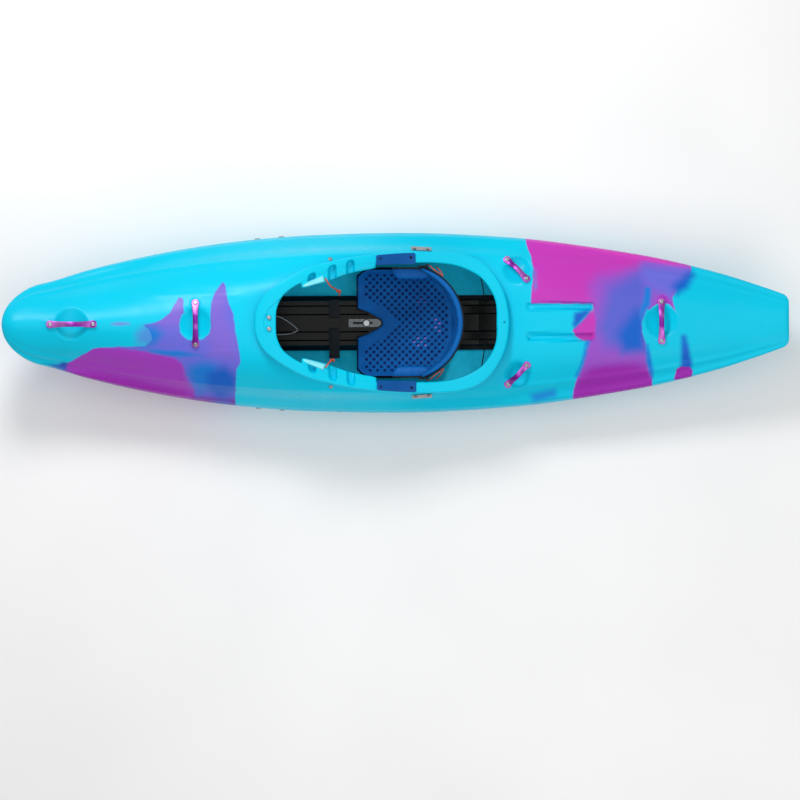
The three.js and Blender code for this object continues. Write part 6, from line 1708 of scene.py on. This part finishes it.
# Thigh braces: a lip inside the rim with three finger flutes, on a web that hangs under the deck
BRACE_FRONT_X = -329.0
BRACE_LENGTH = 260.0
BRACE_LIP = 34.0
BRACE_DROP = 0.3
BRACE_NOSE = 7.0
BRACE_WEB = 9.0
BRACE_DEPTH = 100.0
BRACE_GAP = 0.1
BRACE_STEPS = 110
BRACE_SAG = 7.0
BRACE_SAG_POWER = 2.5
BRACE_TOP_STEPS = 14
BRACE_NOSE_TURN = (-180 / 2.6, 90, 10)
BRACE_END_POWER = 24
BRACE_END_SHARE = 0.6
BRACE_FLUTE_LIMIT = 26.0
BRACE_FOOT = ((BRACE_WEB + 6.0, 22.0), (BRACE_WEB, 28.0), (BRACE_WEB, BRACE_DEPTH), (0.0, BRACE_DEPTH))
brace_lip_shares = [(0, 0.62), (0.3, 1), (0.6, 0.85), (1, 0.5)]
half_inner = rim_inner[: len(rim_inner) // 2]
half_outer = rim_outer[: len(rim_outer) // 2]


def rim_inner_y(x):
    """How far the rim's inner edge is from the middle."""
    return float(np.interp(x, half_inner[:, 0], half_inner[:, 1]))


def rim_outer_y(x):
    """How far the rim's outer edge is from the middle."""
    return float(np.interp(x, half_outer[:, 0], half_outer[:, 1]))


def brace(word, side):
    """Rings from front to rear: the lip inwards from the rim, its rolled nose, and the web downwards."""
    rings = []
    for share in np.linspace(0, 1, BRACE_STEPS):
        x = BRACE_FRONT_X + share * BRACE_LENGTH
        end = math.sqrt(1 - abs(2 * share - 1) ** BRACE_END_POWER)
        lip = BRACE_LIP * value_at(brace_lip_shares, 1, share)
        lip *= BRACE_END_SHARE + (1 - BRACE_END_SHARE) * end
        y, z = rim_inner_y(x) - BRACE_GAP, rim_top(x)
        shares = np.linspace(0, 1, BRACE_TOP_STEPS)[:-1]
        ring = [(lip * s, BRACE_DROP + BRACE_SAG * s**BRACE_SAG_POWER) for s in shares]
        ring += corner((lip - BRACE_NOSE, BRACE_DROP + BRACE_SAG + BRACE_NOSE), BRACE_NOSE, *BRACE_NOSE_TURN)
        ring += BRACE_FOOT
        for i, (inward, down) in enumerate(ring):
            down += flute_drop(x, -inward) if down < BRACE_FLUTE_LIMIT else 0.0
            ring[i] = (x, side * (y - inward), z - down)
        rings.append(ring)
    name = f"thigh_brace_{word}"
    finish_piece(mesh_object(name, *loft(rings)), hull_plastic, name, sharp=50)


# Cover plates: moulded caps over the rim beside the hips, with round corners
PLATE_XS = (-67.0, 71.0)
PLATE_CORNER = 7.0
PLATE_THICKNESS = 4.0
PLATE_LIP = 14.0
PLATE_EDGE = 1.5
PLATE_MARGIN = 6.0
PLATE_STEPS = 60
PLATE_CLUSTER = 0.7
PLATE_GAP = 0.3
PLATE_INNER_DRAW = 0.4
PLATE_LIP_TAPER = 0.4
PLATE_OVERHANG = 2.0
PLATE_CLEARANCE = 1.0


def cover_plate(word, side):
    """Rings from front to rear: the flat top over the rim with round edges, and the lip inside it."""
    length = PLATE_XS[1] - PLATE_XS[0]
    rings = []
    for t in np.linspace(0, 1, PLATE_STEPS):
        x = PLATE_XS[0] + length * (t - PLATE_CLUSTER * math.sin(2 * math.pi * t) / (2 * math.pi))
        reach = min(x - PLATE_XS[0], PLATE_XS[1] - x)
        draw = float(edge_drop(reach, PLATE_CORNER))
        soft = min(float(edge_drop(reach, PLATE_EDGE)), PLATE_EDGE)
        z = rim_top(x) + PLATE_GAP + RIM_CROWN
        top = z + PLATE_THICKNESS - PLATE_EDGE
        outer = rim_outer_y(x) - PLATE_MARGIN - draw + PLATE_OVERHANG
        inner = rim_inner_y(x) - PLATE_CLEARANCE - PLATE_THICKNESS + draw * PLATE_INNER_DRAW
        inside = inner + PLATE_THICKNESS - PLATE_LIP_TAPER
        ring = [(outer, z), *corner((outer - PLATE_EDGE, top), PLATE_EDGE, 0, 90, 4)]
        ring += corner((inner + PLATE_EDGE, top), PLATE_EDGE, 90, 180, 4)
        ring += [(inner, z - PLATE_LIP + draw), (inside, z - PLATE_LIP + draw), (inside, z)]
        rings.append([(x, side * y, v - soft if v > z + 1 else v) for y, v in ring])
    name = f"cover_plate_{word}"
    finish_piece(mesh_object(name, *loft(rings)), blue_plastic, name, sharp=40)


# Cleats: glossy wedges on the braces that grip the pull cords, low in front and broad behind
CLEAT_START = (-326.0, 129.0)
CLEAT_END = (-249.0, 156.0)
CLEAT_HALF = 12.0
CLEAT_HEIGHTS = (4.0, 13.0)
CLEAT_STEPS = 40
CLEAT_RING_STEPS = 17
CLEAT_NOSE = 0.25
CLEAT_TAIL = 0.07
CLEAT_SIDE_POWER = 0.7
CLEAT_TOP_POWER = 0.8
CLEAT_SINK = 5.5
CLEAT_GROOVE = 2.2
CLEAT_GROOVE_HALF = 0.45
CLEAT_GROOVE_RISE = (0.2, 0.4)


def cleat(word, side):
    """Rings from front to rear: half ovals that rise from a pointed nose, with a groove for the cord."""
    start, end = np.array(CLEAT_START), np.array(CLEAT_END)
    across = np.array((-(end - start)[1], (end - start)[0])) / np.linalg.norm(end - start)
    rings = []
    for share in np.linspace(0, 1, CLEAT_STEPS):
        x, y = start + (end - start) * share
        nose = math.sqrt(1 - (1 - min(share / CLEAT_NOSE, 1)) ** 2)
        tail = math.sqrt(1 - max((share - 1 + CLEAT_TAIL) / CLEAT_TAIL, 0) ** 2)
        half = CLEAT_HALF * (0.5 + 0.5 * share) * (0.12 + 0.88 * nose) * (0.6 + 0.4 * tail)
        height = CLEAT_HEIGHTS[0] + (CLEAT_HEIGHTS[1] - CLEAT_HEIGHTS[0]) * share
        height *= (0.3 + 0.7 * nose) * (0.5 + 0.5 * tail)
        groove = CLEAT_GROOVE * float(smooth_step(*CLEAT_GROOVE_RISE, share))
        ring = []
        for angle in np.linspace(0, np.pi, CLEAT_RING_STEPS):
            c, s = math.cos(angle), math.sin(angle)
            offset = half * math.copysign(abs(c) ** CLEAT_SIDE_POWER, c)
            lift = height * abs(s) ** CLEAT_TOP_POWER - groove * max(1 - (c / CLEAT_GROOVE_HALF) ** 2, 0)
            ring.append((x + across[0] * offset, y + across[1] * offset, rim_top(x) - CLEAT_SINK + lift))
        rings.append(mirrored(ring, side))
    name = f"cord_cleat_{word}"
    finish_piece(mesh_object(name, *loft(rings)), cleat_highlight_plastic, name, sharp=55)


for word, side in BOTH_SIDES:
    brace(word, side)
    cover_plate(word, side)
    cleat(word, side)

# Cords and the strap that the kayak holds at both ends
THIN_CORD = 2.0
FRONT_CORD = 1.5
HELD_CORD_STEPS = 18
HELD_CORD_SIDES = 12
backrest_cord_route = [
    (106, 201.6, 250),
    (118, 201, 272),
    (130, 190, 298),
    (150, 174, 304),
    (166, 163, 302),
    (158, 180, 282),
    (142, 197.5, 256),
]
bungee_route = [(300, 160, 224.2), (306, 128, 190), (312, 92, 120), (314, 70, 67)]
front_cord_route = [
    (-438.4, 30, 316),
    (-398, 18, 286),
    (-352, -14, 262),
    (-344, -24, 258),
    (-360, -34, 264),
    (-400, -40, 290),
    (-438.4, -38, 314),
]


def held_cord(name, route, radius, material, body):
    """A braided cord along a curve through the route's points."""
    rings = tube(curve_points(route, HELD_CORD_STEPS), radius, HELD_CORD_SIDES)
    finish_piece(mesh_object(name, *loft(braided(rings)), body=body), material, name)


for word, side in BOTH_SIDES:
    route = mirrored(backrest_cord_route, side)
    held_cord(f"backrest_cord_{word}", route, THIN_CORD, orange_braid, "backrest")
    held_cord(f"bungee_{word}", mirrored(bungee_route, side), THIN_CORD, black_braid, "hull")
held_cord("front_cord", front_cord_route, FRONT_CORD, grey_braid, "hull")

STRAP_XS = (-234.0, -197.0)
STRAP_THICKNESS = 2.0
STRAP_CROWN = 0.3
STRAP_EDGE = 1.0
STRAP_STEPS = 14
# The strap's underside over the tray, from starboard to port: y and z
strap_line = [
    (82, 49.3),
    (60, 49.4),
    (44, 47.6),
    (30, 47.4),
    (0, 47.4),
    (-30, 47.4),
    (-44, 47.6),
    (-60, 49.4),
    (-80, 48.6),
    (-97, 42),
    (-124, 36.8),
]


def strap():
    """A flat band across the tray, with a slightly crowned face."""
    front, rear = STRAP_XS
    rings = []
    for y, z in curve_points(strap_line, STRAP_STEPS):
        middle, high = (2 * z + STRAP_THICKNESS) / 2, z + STRAP_THICKNESS
        ring = [(front + STRAP_EDGE, z), (front, middle), (front + STRAP_EDGE, high)]
        ring += [((front + rear) / 2, high + STRAP_CROWN)]
        ring += [(rear - STRAP_EDGE, high), (rear, middle), (rear - STRAP_EDGE, z)]
        rings.append([(x, y, v) for x, v in ring])
    finish_piece(mesh_object("cross_strap", *loft(rings)), webbing, "cross_strap", sharp=60)


strap()


# Studio: a pale floor under the kayak and soft light from the upper left of the view
FLOOR_SIZE = 12.0
FLOOR_DROP = 0.0015
FLOOR_CLOUD_MM = 900.0


def floor_material():
    """Pale studio paper, very slightly uneven in tone."""
    material, tree, place = new_material("studio_paper_pale")
    cloud = noise(tree, place, FLOOR_CLOUD_MM, detail=2.0).outputs["Fac"]
    colour = mix(tree, ramp(tree, cloud, *NOISE_RANGE, 0.0, 1.0), srgb("#FDFDFD"), srgb("#F7F7F7"))
    close_material(tree, Base_Color=colour, Roughness=0.9)
    return material


FLOOR_REACH = FLOOR_SIZE / 2 / MM
floor_corners = ((-1, -1), (1, -1), (1, 1), (-1, 1))
floor_points = [(x * FLOOR_REACH, y * FLOOR_REACH, -FLOOR_DROP / MM) for x, y in floor_corners]
floor = mesh_object("floor", floor_points, [(0, 1, 2, 3)], body=None, smooth=False)
floor.data.materials.append(floor_material())


# Each light's place, the place that it faces, its size and its power in watts
studio_lights = {
    "key": ((-1.2, 2.6, 3.2), (0, 0, 0.2), (1.4, 1.0), 82),
    "fill": ((2.2, -2.8, 3.4), (0, 0, 0.2), (2.4, 1.8), 34),
    "top": ((0.2, -0.3, 5.4), (0, -0.2, 0), (5.0, 4.0), 62),
}
SKY_STRENGTH = 0.46


def area_light(name, place, target, size, watts):
    """A soft rectangular light."""
    data = bpy.data.lights.new(name, "AREA")
    data.shape = "RECTANGLE"
    data.size, data.size_y = size
    data.energy = watts
    light = bpy.data.objects.new(name, data)
    light.location = place
    light.rotation_euler = (Vector(target) - Vector(place)).to_track_quat("-Z", "Y").to_euler()
    bpy.context.collection.objects.link(light)


for name, settings in studio_lights.items():
    area_light(name, *settings)
world = bpy.data.worlds.new("studio")
world.use_nodes = True
background = world.node_tree.nodes["Background"].inputs
background["Color"].default_value = srgb("#FFFFFF")
background["Strength"].default_value = SKY_STRENGTH
scene.world = world
